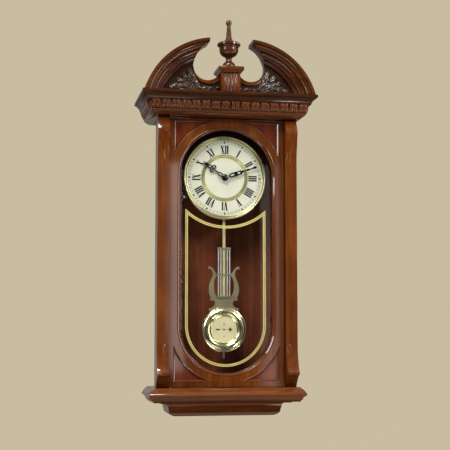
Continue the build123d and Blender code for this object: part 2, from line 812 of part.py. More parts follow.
with BuildPart() as pendulum_pivot_pin:
    with BuildSketch(front_plane(case_back + case_wall)):
        with Locations((0, up(pendulum_pivot_height))):
            Circle(pivot_pin_radius)
    extrude(amount=case_front - case_back - 2 * case_wall)
save(pendulum_pivot_pin, "pendulum_pivot_pin")

lug_angle = radians(206.2)
lug_reach = 116.5
lug_x = lug_reach * cos(lug_angle)
lug_z = up(dial_height) + lug_reach * sin(lug_angle)

with BuildPart() as dial_plate:
    with BuildSketch(front_plane(dial_face - 1.0)):
        with Locations((0, up(dial_height))):
            Circle(dial_radius)
        with Locations(Location((lug_x, lug_z), 26.2)):
            SlotCenterToCenter(16.0, 10.0)
        with Locations((0, up(dial_height))):
            Circle(bush_outer, mode=Mode.SUBTRACT)
        with Locations((lug_x, lug_z)):
            Circle(screw_radius, mode=Mode.SUBTRACT)
    extrude(amount=1.0)
save(dial_plate, "dial_plate")

with BuildPart() as bezel:
    with BuildSketch(Plane.YZ):
        with BuildLine():
            middle = up(dial_height)
            Line((-dial_face, middle + bezel_inner), (-99.0, middle + bezel_inner))
            ThreePointArc((-99.0, middle + bezel_inner), (-102.4, middle + 98.9),
                          (-101.0, middle + 101.8))
            ThreePointArc((-101.0, middle + 101.8), (-104.6, middle + 105.4),
                          (-100.0, middle + bezel_outer))
            Polyline((-100.0, middle + bezel_outer), (-dial_face, middle + bezel_outer),
                     (-dial_face, middle + bezel_inner))
        make_face()
    revolve(axis=dial_axis)
save(bezel, "bezel")

with BuildPart() as dial_nut:
    with BuildSketch(front_plane(dial_face)):
        with Locations((0, up(dial_height))):
            RegularPolygon(6.4, 6)
            Circle(bush_outer, mode=Mode.SUBTRACT)
    extrude(amount=2.4)
save(dial_nut, "dial_nut")

with BuildPart() as dial_steady_post:
    with BuildSketch(front_plane(back_thickness)):
        with Locations((lug_x, lug_z)):
            Circle(4.0)
    extrude(amount=dial_face - 1.0 - back_thickness)
    with BuildSketch(front_plane(dial_face - 1.0)):
        with Locations((lug_x, lug_z)):
            Circle(screw_radius)
    extrude(amount=1.0)
    with BuildSketch(front_plane(dial_face)):
        with Locations((lug_x, lug_z)):
            Circle(3.4)
    extrude(amount=2.2, taper=25)
save(dial_steady_post, "dial_steady_post")


# ---------------------------------------------------------------- motion work and hands

arbor_radius = 1.6
tube_inner = 1.66
tube_outer = 2.94
hand_thickness = 0.8
hour_hand_depth = 101.5
minute_hand_depth = 103.4
cannon_depth = 81.0
hour_wheel_depth = 85.0
arbor_front = 107.0
knob_back = 70.0
knob_radius = 6.0
knob_length = 7.4
spindle_radius = 0.8        # of the minute wheel, which the setting knob is pushed onto
spindle_back = 73.0
spindle_front = 93.2
dial_centre = (0, up(dial_height))
wheel_centre = (wheel_x, up(dial_height))
minute_aim = Location(dial_centre, -minute_hand_angle)
hour_aim = Location(dial_centre, -hour_hand_angle)

with BuildPart() as minute_arbor:
    with BuildSketch(front_plane(case_back + case_wall + 0.3)):
        with Locations(dial_centre):
            Circle(arbor_radius)
    extrude(amount=arbor_front - case_back - case_wall - 0.3)
    with BuildSketch(front_plane(cannon_depth)):
        with BuildLine():
            gear_outline(0, dial_height, 10, motion_module, 0)
        make_face()
    extrude(amount=2.0)
save(minute_arbor, "minute_arbor")

with BuildPart() as minute_wheel:
    with BuildSketch(front_plane(spindle_back)):
        with Locations(wheel_centre):
            Circle(spindle_radius)
    extrude(amount=spindle_front - spindle_back)
    with BuildSketch(front_plane(cannon_depth + 0.2)):
        with BuildLine():
            gear_outline(wheel_x, dial_height, 30, motion_module, 6)
        make_face()
    extrude(amount=1.6)
    with BuildSketch(front_plane(hour_wheel_depth - 1.0)):
        with BuildLine():
            gear_outline(wheel_x, dial_height, 10, hour_module, 18)
        make_face()
    extrude(amount=3.5)
save(minute_wheel, "minute_wheel")

with BuildPart() as set_knob:
    with BuildSketch(front_plane(knob_back)):
        with Locations(wheel_centre):
            Circle(knob_radius)
            with PolarLocations(knob_radius + 0.3, 20):
                Circle(0.6, mode=Mode.SUBTRACT)
    extrude(amount=knob_length)
    with BuildSketch(front_plane(spindle_back)):
        with Locations(wheel_centre):
            Circle(spindle_radius)
    extrude(amount=knob_back + knob_length - spindle_back, mode=Mode.SUBTRACT)
save(set_knob, "set_knob")

with BuildPart() as hour_wheel:
    with BuildSketch(front_plane(hour_wheel_depth)):
        with BuildLine():
            gear_outline(0, dial_height, 40, hour_module, 0)
        make_face()
    extrude(amount=1.5)
    with BuildSketch(front_plane(hour_wheel_depth)):
        with Locations(dial_centre):
            Circle(tube_outer)
    extrude(amount=hour_hand_depth + hand_thickness - hour_wheel_depth)
    with BuildSketch(front_plane(hour_wheel_depth)):
        with Locations(dial_centre):
            Circle(tube_inner)
    extrude(amount=hour_hand_depth + hand_thickness - hour_wheel_depth, mode=Mode.SUBTRACT)
save(hour_wheel, "hour_wheel")

hand_hub = 7.0
hand_rod = 3.2              # width of the plain part of a hand
trefoil_sites = ((-5.8, 38.6), (5.8, 38.6), (0, 48.0))

with BuildPart() as hour_hand:
    with BuildSketch(front_plane(hour_hand_depth)):
        with Locations(hour_aim):
            Circle(hand_hub)
            with Locations((0, 27.5)):
                Rectangle(hand_rod, 15.0)
            with Locations((0, 14.0)):
                Ellipse(5.2, 9.0)
            with Locations(*trefoil_sites):
                Circle(5.5)
            Polygon((-1.6, 51.0), (-3.6, 56.5), (-0.6, 69.5), (0.6, 69.5), (3.6, 56.5), (1.6, 51.0),
                    align=None)
            with Locations((0, 14.6)):
                Ellipse(2.4, 4.8, mode=Mode.SUBTRACT)
            with Locations(*trefoil_sites):
                Circle(2.6, mode=Mode.SUBTRACT)
            Circle(tube_outer, mode=Mode.SUBTRACT)
    extrude(amount=hand_thickness)
save(hour_hand, "hour_hand")

with BuildPart() as minute_hand:
    with BuildSketch(front_plane(minute_hand_depth)):
        with Locations(minute_aim):
            Circle(hand_hub)
            with Locations((0, 63.0)):
                Rectangle(hand_rod, 42.0)
            with Locations((0, 21.0)):
                Ellipse(6.2, 10.6)
            with Locations((0, 30.6)):
                Circle(6.2)
            with Locations((0, 38.6)):
                Ellipse(5.6, 8.6)
            Polygon((0, 40.0), (-7.0, 43.0), (-3.2, 47.0), (-1.6, 55.0), (1.6, 55.0), (3.2, 47.0),
                    (7.0, 43.0), align=None)
            with Locations((0, 63.4)):
                Ellipse(3.0, 4.8)
            Polygon((-1.6, 77.0), (-3.8, 83.0), (-0.6, 90.0), (0.6, 90.0), (3.8, 83.0), (1.6, 77.0),
                    align=None)
            with Locations((0, 20.4)):
                Ellipse(2.9, 5.4, mode=Mode.SUBTRACT)
            with Locations((0, 38.6)):
                Ellipse(2.6, 3.9, mode=Mode.SUBTRACT)
            Circle(arbor_radius, mode=Mode.SUBTRACT)
    extrude(amount=hand_thickness)
save(minute_hand, "minute_hand")

cap_back = minute_hand_depth + hand_thickness
with BuildPart() as hand_cap:
    with BuildSketch(Plane.YZ):
        with BuildLine():
            hub = up(dial_height)
            Polyline((-cap_back - 5.6, hub), (-cap_back, hub), (-cap_back, hub + 8.8),
                     (-cap_back - 1.2, hub + 8.8))
            Spline((-cap_back - 1.2, hub + 8.8), (-cap_back - 4.4, hub + 5.4), (-cap_back - 5.6, hub),
                   tangents=((-1, 0), (0, -1)))
        make_face()
    revolve(axis=dial_axis)
    with BuildSketch(front_plane(cap_back)):
        with Locations(dial_centre):
            Circle(arbor_radius)
    extrude(amount=arbor_front - cap_back, mode=Mode.SUBTRACT)
save(hand_cap, "hand_cap")


# ---------------------------------------------------------------- pendulum

rod_half = 3.5
rod_back = 88.0
hanger_back = 84.0
bar_front = 92.2            # front of the cross bars that hold the gridiron's rods
rod_top = 558.0
rod_bottom = 296.0
gridiron_depth = 90.0
gridiron_radius = 1.7
gridiron_sites = [(x, -gridiron_depth) for x in (-14.4, -8.2, 8.2, 14.4)]
gridiron_top = 424.5
gridiron_bottom = 297.0
lyre_back = 87.0

with BuildPart() as pendulum_hanger:
    with BuildSketch(front_plane(hanger_back)):
        with Locations((0, up(pendulum_pivot_height))):
            Circle(4.0)
        with Locations((0, up(pendulum_pivot_height - 11.0))):
            Rectangle(6.0, 20.0)
        with Locations((0, up(pendulum_pivot_height))):
            Circle(pivot_pin_radius + 0.06, mode=Mode.SUBTRACT)
    extrude(amount=rod_back - hanger_back)
    with BuildSketch(front_plane(hanger_back)):
        with Locations((0, up(hanger_magnet_level))):
            Circle(3.0)
    extrude(amount=-1.6)
save(pendulum_hanger, "pendulum_hanger")

with BuildPart() as pendulum_rod:
    with BuildSketch(front_plane(rod_back)):
        with Locations((0, up((rod_top + rod_bottom) / 2))):
            RectangleRounded(2 * rod_half, rod_top - rod_bottom, 1.5)
    extrude(amount=1.0)
save(pendulum_rod, "pendulum_rod")

with BuildPart() as gridiron_rods:
    with BuildSketch(Plane.XY.offset(up(gridiron_bottom))):
        with Locations(*gridiron_sites):
            Circle(gridiron_radius)
    extrude(amount=gridiron_top - 1.0 - gridiron_bottom)
save(gridiron_rods, "gridiron_rods")

with BuildPart() as gridiron_bars:
    for bar_top, bar_half, bar_height in ((gridiron_top, 17.8, 5.0), (358.2, 19.0, 5.4),
                                          (302.0, 18.5, 5.5)):
        with BuildSketch(Plane.XY.offset(up(bar_top - bar_height))):
            with Locations((0, -(rod_back + bar_front) / 2)):
                RectangleRounded(2 * bar_half, bar_front - rod_back, 1.2)
            with Locations((0, -rod_back - 0.5)):
                Rectangle(2 * rod_half, 1.0, mode=Mode.SUBTRACT)
            with Locations(*gridiron_sites):
                Circle(gridiron_radius, mode=Mode.SUBTRACT)
        extrude(amount=bar_height)
save(gridiron_bars, "gridiron_bars")

with BuildPart() as lyre_plate:
    with BuildSketch(front_plane(lyre_back)):
        with BuildLine():
            Polyline((0, up(357.7)), (0, up(240.0)), (36.0, up(240.0)), (36.8, up(264.9)))
            Spline((36.8, up(264.9)), (34.0, up(269.4)), (26.0, up(274.5)), (23.3, up(283.5)),
                   (26.5, up(289.4)))
            Line((26.5, up(289.4)), (33.0, up(289.4)))
            ThreePointArc((33.0, up(289.4)), (36.0, up(292.3)), (33.2, up(295.2)))
            Spline((33.2, up(295.2)), (36.6, up(302.0)), (39.2, up(314.0)), (37.8, up(328.0)),
                   (32.6, up(344.0)), (28.4, up(355.0)), (29.9, up(363.0)), (34.8, up(369.6)))
            Line((34.8, up(369.6)), (34.2, up(374.6)))
            Spline((34.2, up(374.6)), (28.6, up(370.8)), (23.8, up(363.6)), (19.2, up(357.7)))
            Line((19.2, up(357.7)), (0, up(357.7)))
        make_face()
        with BuildLine():
            Polyline((0, up(352.6)), (18.2, up(352.6)))
            Spline((18.2, up(352.6)), (23.9, up(342.0)), (26.1, up(326.5)), (24.1, up(311.0)),
                   (18.2, up(298.5)))
            Polyline((18.2, up(298.5)), (0, up(298.5)), (0, up(352.6)))
        make_face(mode=Mode.SUBTRACT)
        with Locations((37.2, up(372.4))):
            Circle(3.6)
        with Locations((36.2, up(267.2))):
            Circle(2.8)
        mirror(about=Plane.YZ)
    extrude(amount=1.0)
save(lyre_plate, "lyre_plate")

bob_axis = Axis((0, 0, up(bob_height)), (0, 1, 0))
insert_radius = 33.0

with BuildPart() as bob_shell:
    with BuildSketch(Plane.YZ):
        with BuildLine():
            hub = up(bob_height)
            rim = hub + bob_radius
            Polyline((-91.4, hub + insert_radius), (-rod_back, hub + insert_radius), (-rod_back, rim - 1.0))
            ThreePointArc((-rod_back, rim - 1.0), (-90.2, rim), (-91.4, rim - 1.7))
            ThreePointArc((-91.4, rim - 1.7), (-91.0, rim - 2.6), (-90.8, rim - 3.4))
            ThreePointArc((-90.8, rim - 3.4), (-94.4, hub + 46.4), (-90.6, hub + 36.6))
            ThreePointArc((-90.6, hub + 36.6), (-92.4, hub + 34.8), (-91.4, hub + insert_radius))
        make_face()
    revolve(axis=bob_axis)
save(bob_shell, "bob_shell")

with BuildPart() as bob_insert:
    with BuildSketch(front_plane(rod_back)):
        with Locations((0, up(bob_height))):
            Circle(insert_radius)
    extrude(amount=2.2)
save(bob_insert, "bob_insert")

weight_radius = 54.5
weight_thickness = 4.0
tip_top = 163.0             # of the rating stud below the bob
tip_bottom = 143.4
with BuildPart() as bob_weight:
    with BuildSketch(front_plane(lyre_back - weight_thickness)):
        with Locations((0, up(bob_height))):
            Circle(weight_radius)
    extrude(amount=weight_thickness)
    with BuildSketch(Plane.XY.offset(up(tip_bottom))):
        with Locations((0, -lyre_back + 2.6)):
            Circle(2.4)
    extrude(amount=tip_top - tip_bottom)
save(bob_weight, "bob_weight")
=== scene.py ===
import json
import math

import bpy
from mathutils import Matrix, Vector


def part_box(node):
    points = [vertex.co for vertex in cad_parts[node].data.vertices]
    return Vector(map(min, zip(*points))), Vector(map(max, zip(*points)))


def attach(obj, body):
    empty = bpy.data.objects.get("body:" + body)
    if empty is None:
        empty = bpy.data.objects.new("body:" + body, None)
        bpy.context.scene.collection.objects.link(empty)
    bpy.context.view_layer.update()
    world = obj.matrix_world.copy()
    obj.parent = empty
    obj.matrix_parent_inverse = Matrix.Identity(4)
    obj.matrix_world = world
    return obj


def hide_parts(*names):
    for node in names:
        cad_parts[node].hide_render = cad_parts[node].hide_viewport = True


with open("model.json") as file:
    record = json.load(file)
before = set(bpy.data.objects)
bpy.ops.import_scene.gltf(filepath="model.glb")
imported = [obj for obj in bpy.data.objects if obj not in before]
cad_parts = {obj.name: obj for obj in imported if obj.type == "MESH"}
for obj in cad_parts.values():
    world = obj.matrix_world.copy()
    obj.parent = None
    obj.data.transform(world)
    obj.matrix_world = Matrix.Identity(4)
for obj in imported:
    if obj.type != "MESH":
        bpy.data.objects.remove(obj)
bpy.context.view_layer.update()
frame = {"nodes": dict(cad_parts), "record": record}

# Looks of the wall clock. Everything is in metres in the part's own frame: +Z is up, the front
# faces -Y, the wall is the plane y = 0 and the origin is the hanger hole. The script dresses the
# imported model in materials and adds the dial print, the gilt line on the glass, the turned faces of
# the bob, the carved leaves, the rims of the scroll eyes and the beads on the door.

MM = 0.001
nodes = frame["nodes"]


# ---------------------------------------------------------------- places read from the frame

def centre(node):
    """Middle of a CAD node's box."""
    low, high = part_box(node)
    return (low + high) / 2


def front(node):
    """Y of the foremost point of a CAD node."""
    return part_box(node)[0].y


dial_centre = centre("bezel")
dial_face = front("dial_plate")
bob_centre = centre("bob_shell")
crown_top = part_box("crown_moulding")[1].z
case_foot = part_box("base_drop")[0].z


# ---------------------------------------------------------------- mesh helpers

def add_piece(name, vertices, faces, material, body, slot, smooth=True):
    """Mesh piece that rides on a CAD body."""
    mesh = bpy.data.meshes.new(name)
    mesh.from_pydata(vertices, [], faces)
    mesh.materials.append(material)
    mesh.polygons.foreach_set("use_smooth", [smooth] * len(mesh.polygons))
    mesh.update()
    piece = bpy.data.objects.new(name, mesh)
    bpy.context.scene.collection.objects.link(piece)
    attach(piece, body)
    return piece


def prisms(outlines, face, height):
    """Closed prisms standing on the plane y = face. An outline is (x, z) points, clockwise."""
    vertices = []
    faces = []
    for outline in outlines:
        start = len(vertices)
        count = len(outline)
        vertices += [(x, face, z) for x, z in outline]
        vertices += [(x, face - height, z) for x, z in outline]
        faces.append([start + count + i for i in reversed(range(count))])
        faces.append([start + i for i in range(count)])
        for i in range(count):
            j = (i + 1) % count
            faces.append([start + i, start + count + i, start + count + j, start + j])
    return vertices, faces


def ribbon(lanes, back):
    """Closed band from lanes of (x, y, z) points round a loop, with a flat back at y = back."""
    vertices = []
    faces = []
    count = len(lanes[0])
    first = [(x, back, z) for x, _, z in lanes[0]]
    last = [(x, back, z) for x, _, z in lanes[-1]]
    rows = [first, *lanes, last]
    for row in rows:
        vertices += row
    for r in range(len(rows)):
        after = (r + 1) % len(rows)
        for i in range(count):
            j = (i + 1) % count
            faces.append([r * count + i, r * count + j, after * count + j, after * count + i])
    return vertices, faces


def turned(profile, middle):
    """Solid turned about the line through middle along Y. The (radius, y) profile ends on the axis."""
    segments = 160
    vertices = [(middle.x, profile[0][1], middle.z), (middle.x, profile[-1][1], middle.z)]
    faces = []
    rings = profile[1:-1]
    for radius, y in rings:
        for i in range(segments):
            angle = 2 * math.pi * i / segments
            x = middle.x + radius * math.cos(angle)
            z = middle.z + radius * math.sin(angle)
            vertices.append((x, y, z))
    for r in range(len(rings) - 1):
        for i in range(segments):
            j = (i + 1) % segments
            low = 2 + r * segments
            high = low + segments
            faces.append([low + i, low + j, high + j, high + i])
    last = 2 + (len(rings) - 1) * segments
    for i in range(segments):
        j = (i + 1) % segments
        faces.append([0, 2 + j, 2 + i])
        faces.append([1, last + i, last + j])
    return vertices, faces


# ---------------------------------------------------------------- materials

def new_material(name):
    """Empty material with one Principled shader. Returns the material, its nodes, links and shader."""
    material = bpy.data.materials.new(name)
    material.use_nodes = True
    tree = material.node_tree
    return material, tree.nodes, tree.links, tree.nodes["Principled BSDF"]


even = (1.0, 1.0, 1.0)
upright_grain = (1.0, 1.0, 0.07)
level_grain = (0.07, 0.07, 1.0)


def noise(tree_nodes, links, scale, detail=6.0, roughness=0.55, distortion=0.0, stretch=even):
    """Noise in the part's own frame, drawn out along the axes with a small stretch."""
    place = tree_nodes.new("ShaderNodeTexCoord")
    mapping = tree_nodes.new("ShaderNodeMapping")
    mapping.inputs["Scale"].default_value = stretch
    texture = tree_nodes.new("ShaderNodeTexNoise")
    texture.inputs["Scale"].default_value = scale
    texture.inputs["Detail"].default_value = detail
    texture.inputs["Roughness"].default_value = roughness
    texture.inputs["Distortion"].default_value = distortion
    links.new(place.outputs["Object"], mapping.inputs["Vector"])
    links.new(mapping.outputs["Vector"], texture.inputs["Vector"])
    return texture.outputs["Fac"]


def grey(level):
    """Neutral colour."""
    return (level, level, level)


def ramp(tree_nodes, links, source, stops):
    """Colour ramp. A stop is (position, linear RGB)."""
    node = tree_nodes.new("ShaderNodeValToRGB")
    elements = node.color_ramp.elements
    while len(elements) < len(stops):
        elements.new(0.5)
    for element, (position, colour) in zip(elements, stops):
        element.position = position
        element.color = (*colour, 1.0)
    links.new(source, node.inputs["Fac"])
    return node.outputs["Color"]


def multiply(tree_nodes, links, first, second, factor=1.0):
    """First colour darkened by the second one, fully where factor is 1."""
    node = tree_nodes.new("ShaderNodeMix")
    node.data_type = "RGBA"
    node.blend_type = "MULTIPLY"
    node.inputs["Factor"].default_value = factor
    links.new(first, node.inputs["A"])
    links.new(second, node.inputs["B"])
    return node.outputs["Result"]


def spread(tree_nodes, links, source, low, high):
    """Noise, which keeps mostly between 0.3 and 0.7, spread between low and high."""
    node = tree_nodes.new("ShaderNodeMapRange")
    node.inputs["From Min"].default_value = 0.3
    node.inputs["From Max"].default_value = 0.7
    node.inputs["To Min"].default_value = low
    node.inputs["To Max"].default_value = high
    links.new(source, node.inputs["Value"])
    return node.outputs["Result"]


def bump(tree_nodes, links, source, shader, distance):
    """Fine relief on a shader."""
    node = tree_nodes.new("ShaderNodeBump")
    node.inputs["Distance"].default_value = distance
    links.new(source, node.inputs["Height"])
    links.new(node.outputs["Normal"], shader.inputs["Normal"])


def wood(name, tones, grain, painted_hollow_shade=0.0, coat=1.0, gloss=0.35, shine=0.06):
    """Stained cherry under lacquer, with a drawn-out figure and open pores.

    tones are dark, middle and light. The hollow-shade factor paints shade into the hollows: it darkens
    them by ambient occlusion, where shade falls. gloss is the roughness of the wood and shine that of
    the lacquer over it.
    """
    material, tree_nodes, links, shader = new_material(name)
    figure = noise(tree_nodes, links, 55.0, detail=7.0, distortion=1.1, stretch=grain)
    cloud = noise(tree_nodes, links, 7.0, detail=3.0)
    pores = noise(tree_nodes, links, 620.0, detail=3.0, roughness=0.6, stretch=grain)
    colour = ramp(tree_nodes, links, figure, list(zip((0.28, 0.5, 0.74), tones)))
    shade = ramp(tree_nodes, links, cloud, [(0.3, (0.72, 0.68, 0.66)), (0.7, grey(1.0))])
    colour = multiply(tree_nodes, links, colour, shade)
    pore_shade = ramp(tree_nodes, links, pores, [(0.34, (0.5, 0.45, 0.42)), (0.47, grey(1.0))])
    colour = multiply(tree_nodes, links, colour, pore_shade, 0.4)
    # painted shade: ambient occlusion darkens the colour in hollows, creases and between parts, where
    # shade falls
    if painted_hollow_shade:
        hollow = tree_nodes.new("ShaderNodeAmbientOcclusion")
        hollow.samples = 8
        hollow.inputs["Distance"].default_value = 9 * MM
        painted_shade = ramp(tree_nodes, links, hollow.outputs["AO"],
                    [(0.25, (0.12, 0.09, 0.08)), (0.85, grey(1.0))])
        colour = multiply(tree_nodes, links, colour, painted_shade, painted_hollow_shade)
    links.new(colour, shader.inputs["Base Color"])
    links.new(spread(tree_nodes, links, cloud, gloss, gloss + 0.12), shader.inputs["Roughness"])
    shader.inputs["Specular IOR Level"].default_value = 0.05
    shader.inputs["Coat Weight"].default_value = coat
    shader.inputs["Coat Roughness"].default_value = shine
    bump(tree_nodes, links, figure, shader, 0.06 * MM)
    return material


def metal(name, colour, dull, rough, streak=even, scale=300.0, relief=0.0):
    """Metal whose colour and roughness vary a little, in streaks where streak is uneven."""
    material, tree_nodes, links, shader = new_material(name)
    cloud = noise(tree_nodes, links, 22.0, detail=4.0)
    fine = noise(tree_nodes, links, scale, detail=3.0, stretch=streak)
    tone = ramp(tree_nodes, links, cloud, [(0.3, dull), (0.65, colour)])
    links.new(tone, shader.inputs["Base Color"])
    links.new(spread(tree_nodes, links, fine, 0.8 * rough, 1.3 * rough), shader.inputs["Roughness"])
    shader.inputs["Metallic"].default_value = 1.0
    if relief:
        bump(tree_nodes, links, fine, shader, relief)
    return material


def coating(name, colour, shade, rough, relief):
    """Paint, moulded plastic, ferrite or solder mask: fine texture and a slightly uneven tone."""
    material, tree_nodes, links, shader = new_material(name)
    cloud = noise(tree_nodes, links, 30.0, detail=4.0)
    fine = noise(tree_nodes, links, 500.0, detail=2.0)
    tone = ramp(tree_nodes, links, cloud, [(0.35, shade), (0.65, colour)])
    links.new(tone, shader.inputs["Base Color"])
    links.new(spread(tree_nodes, links, fine, 0.85 * rough, 1.2 * rough), shader.inputs["Roughness"])
    bump(tree_nodes, links, fine, shader, relief)
    return material


ivory_radius = 106.0 * MM


def dial_ivory_and_lug_shade():
    """Ivory paint over the face of the dial plate, and painted shade over the lug beyond its edge,
    coloured near black as the deep case leaves it in shade.
    """
    material, tree_nodes, links, shader = new_material("dial_ivory_and_lug_shade")
    place = tree_nodes.new("ShaderNodeTexCoord")
    reach = tree_nodes.new("ShaderNodeVectorMath")
    reach.operation = "DISTANCE"
    reach.inputs[1].default_value = (dial_centre.x, dial_face, dial_centre.z)
    edge = tree_nodes.new("ShaderNodeMapRange")
    edge.inputs["From Min"].default_value = ivory_radius
    edge.inputs["From Max"].default_value = ivory_radius + 0.5 * MM
    links.new(place.outputs["Object"], reach.inputs[0])
    links.new(reach.outputs["Value"], edge.inputs["Value"])
    cloud = noise(tree_nodes, links, 30.0, detail=4.0)
    tone = ramp(tree_nodes, links, cloud, [(0.35, (0.69, 0.67, 0.58)), (0.65, (0.74, 0.72, 0.63))])
    # painted shade: near black beyond ivory_radius, where the lug lies in the shade of the case
    lug_shade = ramp(tree_nodes, links, edge.outputs["Result"], [(0.0, grey(1.0)), (1.0, grey(0.012))])
    links.new(multiply(tree_nodes, links, tone, lug_shade), shader.inputs["Base Color"])
    shader.inputs["Roughness"].default_value = 0.42
    return material


def pane():
    """Clear float glass, which passes light straight through and mirrors more towards its edges."""
    material, tree_nodes, links, shader = new_material("float_glass")
    tree_nodes.remove(shader)
    clear = tree_nodes.new("ShaderNodeBsdfTransparent")
    clear.inputs["Color"].default_value = (0.905, 0.92, 0.905, 1.0)
    gloss = tree_nodes.new("ShaderNodeBsdfGlossy")
    gloss.inputs["Roughness"].default_value = 0.02
    slant = tree_nodes.new("ShaderNodeLayerWeight")
    share = ramp(tree_nodes, links, slant.outputs["Facing"],
                 [(0.0, grey(0.012)), (0.5, grey(0.03)), (0.8, grey(0.16)), (1.0, grey(0.8))])
    mix = tree_nodes.new("ShaderNodeMixShader")
    links.new(share, mix.inputs["Fac"])
    links.new(clear.outputs["BSDF"], mix.inputs[1])
    links.new(gloss.outputs["BSDF"], mix.inputs[2])
    links.new(mix.outputs["Shader"], tree_nodes["Material Output"].inputs["Surface"])
    return material


cherry = ((0.066, 0.014, 0.0012), (0.108, 0.026, 0.0022), (0.160, 0.044, 0.0040))
moulding_tones = ((0.050, 0.011, 0.0010), (0.094, 0.022, 0.0018), (0.142, 0.037, 0.0032))
arch_tones = ((0.030, 0.007, 0.0008), (0.058, 0.014, 0.0014), (0.088, 0.023, 0.0022))
crown_tones = ((0.020, 0.0045, 0.0005), (0.036, 0.0085, 0.0009), (0.056, 0.014, 0.0014))
panel_tones = ((0.080, 0.012, 0.002), (0.128, 0.021, 0.004), (0.180, 0.036, 0.007))
back_tones = ((0.185, 0.048, 0.022), (0.230, 0.064, 0.030), (0.275, 0.082, 0.039))
glazed_tones = ((0.012, 0.005, 0.002), (0.024, 0.009, 0.004), (0.042, 0.016, 0.007))
carved_tones = ((0.012, 0.006, 0.003), (0.030, 0.016, 0.009), (0.060, 0.036, 0.022))

# the hollow-shade values below paint shade into the hollows of each wood
case_upright = wood("cherry_upright", cherry, upright_grain, painted_hollow_shade=0.6)
case_level = wood("cherry_level", cherry, level_grain, painted_hollow_shade=0.6)
trim = wood("cherry_moulding", moulding_tones, level_grain, painted_hollow_shade=0.9, shine=0.13)
arch_wood = wood("cherry_arch", arch_tones, level_grain, painted_hollow_shade=0.9, coat=0.7, shine=0.18)
crown_wood = wood("cherry_crown", crown_tones, level_grain, painted_hollow_shade=0.9, coat=0.5, shine=0.14)
panel_veneer = wood("cherry_panel", panel_tones, upright_grain, painted_hollow_shade=0.85)
back_board = wood("brown_board", back_tones, upright_grain, coat=0.3, gloss=0.45)
glazed_board = wood("glazed_board", glazed_tones, level_grain, painted_hollow_shade=0.8)
carving = wood("glazed_carving", carved_tones, level_grain, painted_hollow_shade=0.95, coat=0.7, shine=0.24)

polished_brass = metal("polished_brass", (0.84, 0.77, 0.50), (0.76, 0.69, 0.42), 0.2, scale=25.0)
satin_brass = metal("satin_brass", (0.56, 0.48, 0.31), (0.44, 0.38, 0.24), 0.40, relief=0.02 * MM)
bright_brass = metal("bright_brass", (0.95, 0.86, 0.50), (0.88, 0.79, 0.44), 0.45)
bezel_brass = metal("bezel_brass", (0.74, 0.68, 0.44), (0.64, 0.59, 0.37), 0.30, scale=25.0)
ring_brass = metal("ring_brass", (0.36, 0.33, 0.17), (0.29, 0.27, 0.13), 0.45)
spun_brass = metal("spun_brass", (0.90, 0.82, 0.56), (0.82, 0.74, 0.48), 0.55)
plated_steel = metal("plated_steel", (0.62, 0.62, 0.60), (0.50, 0.50, 0.49), 0.32,
                     streak=(1.0, 1.0, 0.1), scale=400.0)
bright_tube = metal("bright_tube", (0.80, 0.80, 0.82), (0.70, 0.70, 0.73), 0.4,
                    streak=(1.0, 1.0, 0.05), scale=500.0)
copper_wire = metal("copper_wire", (0.72, 0.33, 0.18), (0.55, 0.22, 0.11), 0.3,
                    streak=(0.04, 1.0, 1.0), scale=900.0, relief=0.15 * MM)

gloss_black = coating("gloss_black_enamel", (0.004, 0.004, 0.005), grey(0.002), 0.25, 0.005 * MM)
gilt = coating("gilt_print", (0.82, 0.65, 0.25), (0.74, 0.58, 0.20), 0.3, 0.004 * MM)
gilt_shade = coating("gilt_print_shade", (0.36, 0.27, 0.09), (0.28, 0.20, 0.07), 0.4, 0.004 * MM)
print_black = coating("black_dial_ink", grey(0.010), grey(0.005), 0.5, 0.004 * MM)
print_grey = coating("grey_dial_ink", (0.13, 0.13, 0.11), (0.09, 0.09, 0.08), 0.5, 0.004 * MM)
black_plastic = coating("black_plastic", (0.030, 0.030, 0.032), (0.020, 0.020, 0.022), 0.5, 0.03 * MM)
white_plastic = coating("white_acetal", (0.80, 0.79, 0.75), (0.70, 0.69, 0.65), 0.4, 0.01 * MM)
battery_wrap = coating("battery_wrap", (0.055, 0.085, 0.125), (0.035, 0.060, 0.095), 0.25, 0.01 * MM)
solder_mask = coating("solder_mask", (0.020, 0.120, 0.055), (0.012, 0.080, 0.038), 0.35, 0.02 * MM)
ferrite = coating("ferrite", (0.045, 0.045, 0.048), (0.028, 0.028, 0.030), 0.6, 0.05 * MM)

slot_materials = {
    "case_wood": case_upright,
    "trim_wood": trim,
    "panel_wood": back_board,
    "carved_wood": carving,
    "brass": polished_brass,
    "brass_satin": satin_brass,
    "steel": plated_steel,
    "bright_steel": bright_tube,
    "hand_black": gloss_black,
    "dial_ivory": dial_ivory_and_lug_shade(),
    "glass": pane(),
    "black_plastic": black_plastic,
    "white_plastic": white_plastic,
    "battery_wrap": battery_wrap,
    "circuit": solder_mask,
    "copper": copper_wire,
    "magnet": ferrite,
}
# nodes whose look differs from that of their slot
own_materials = {
    "case_bottom": case_level,
    "top_board": case_level,
    "frieze_rail": case_level,
    "base_moulding": case_level,
    "base_drop": case_level,
    "pediment_arch_left": arch_wood,
    "pediment_arch_right": arch_wood,
    "finial": arch_wood,
    "crown_moulding": crown_wood,
    "corner_panels": panel_veneer,
    "pediment_board_left": glazed_board,
    "pediment_board_right": glazed_board,
    "pendulum_rod": bright_brass,
    "bezel": bezel_brass,
}

for part in frame["record"]["subparts"]:
    name = part["node"]
    look = own_materials.get(name, slot_materials[part["material_slot"]])
    nodes[name].data.materials.clear()
    nodes[name].data.materials.append(look)


# ---------------------------------------------------------------- softened edges of the woodwork

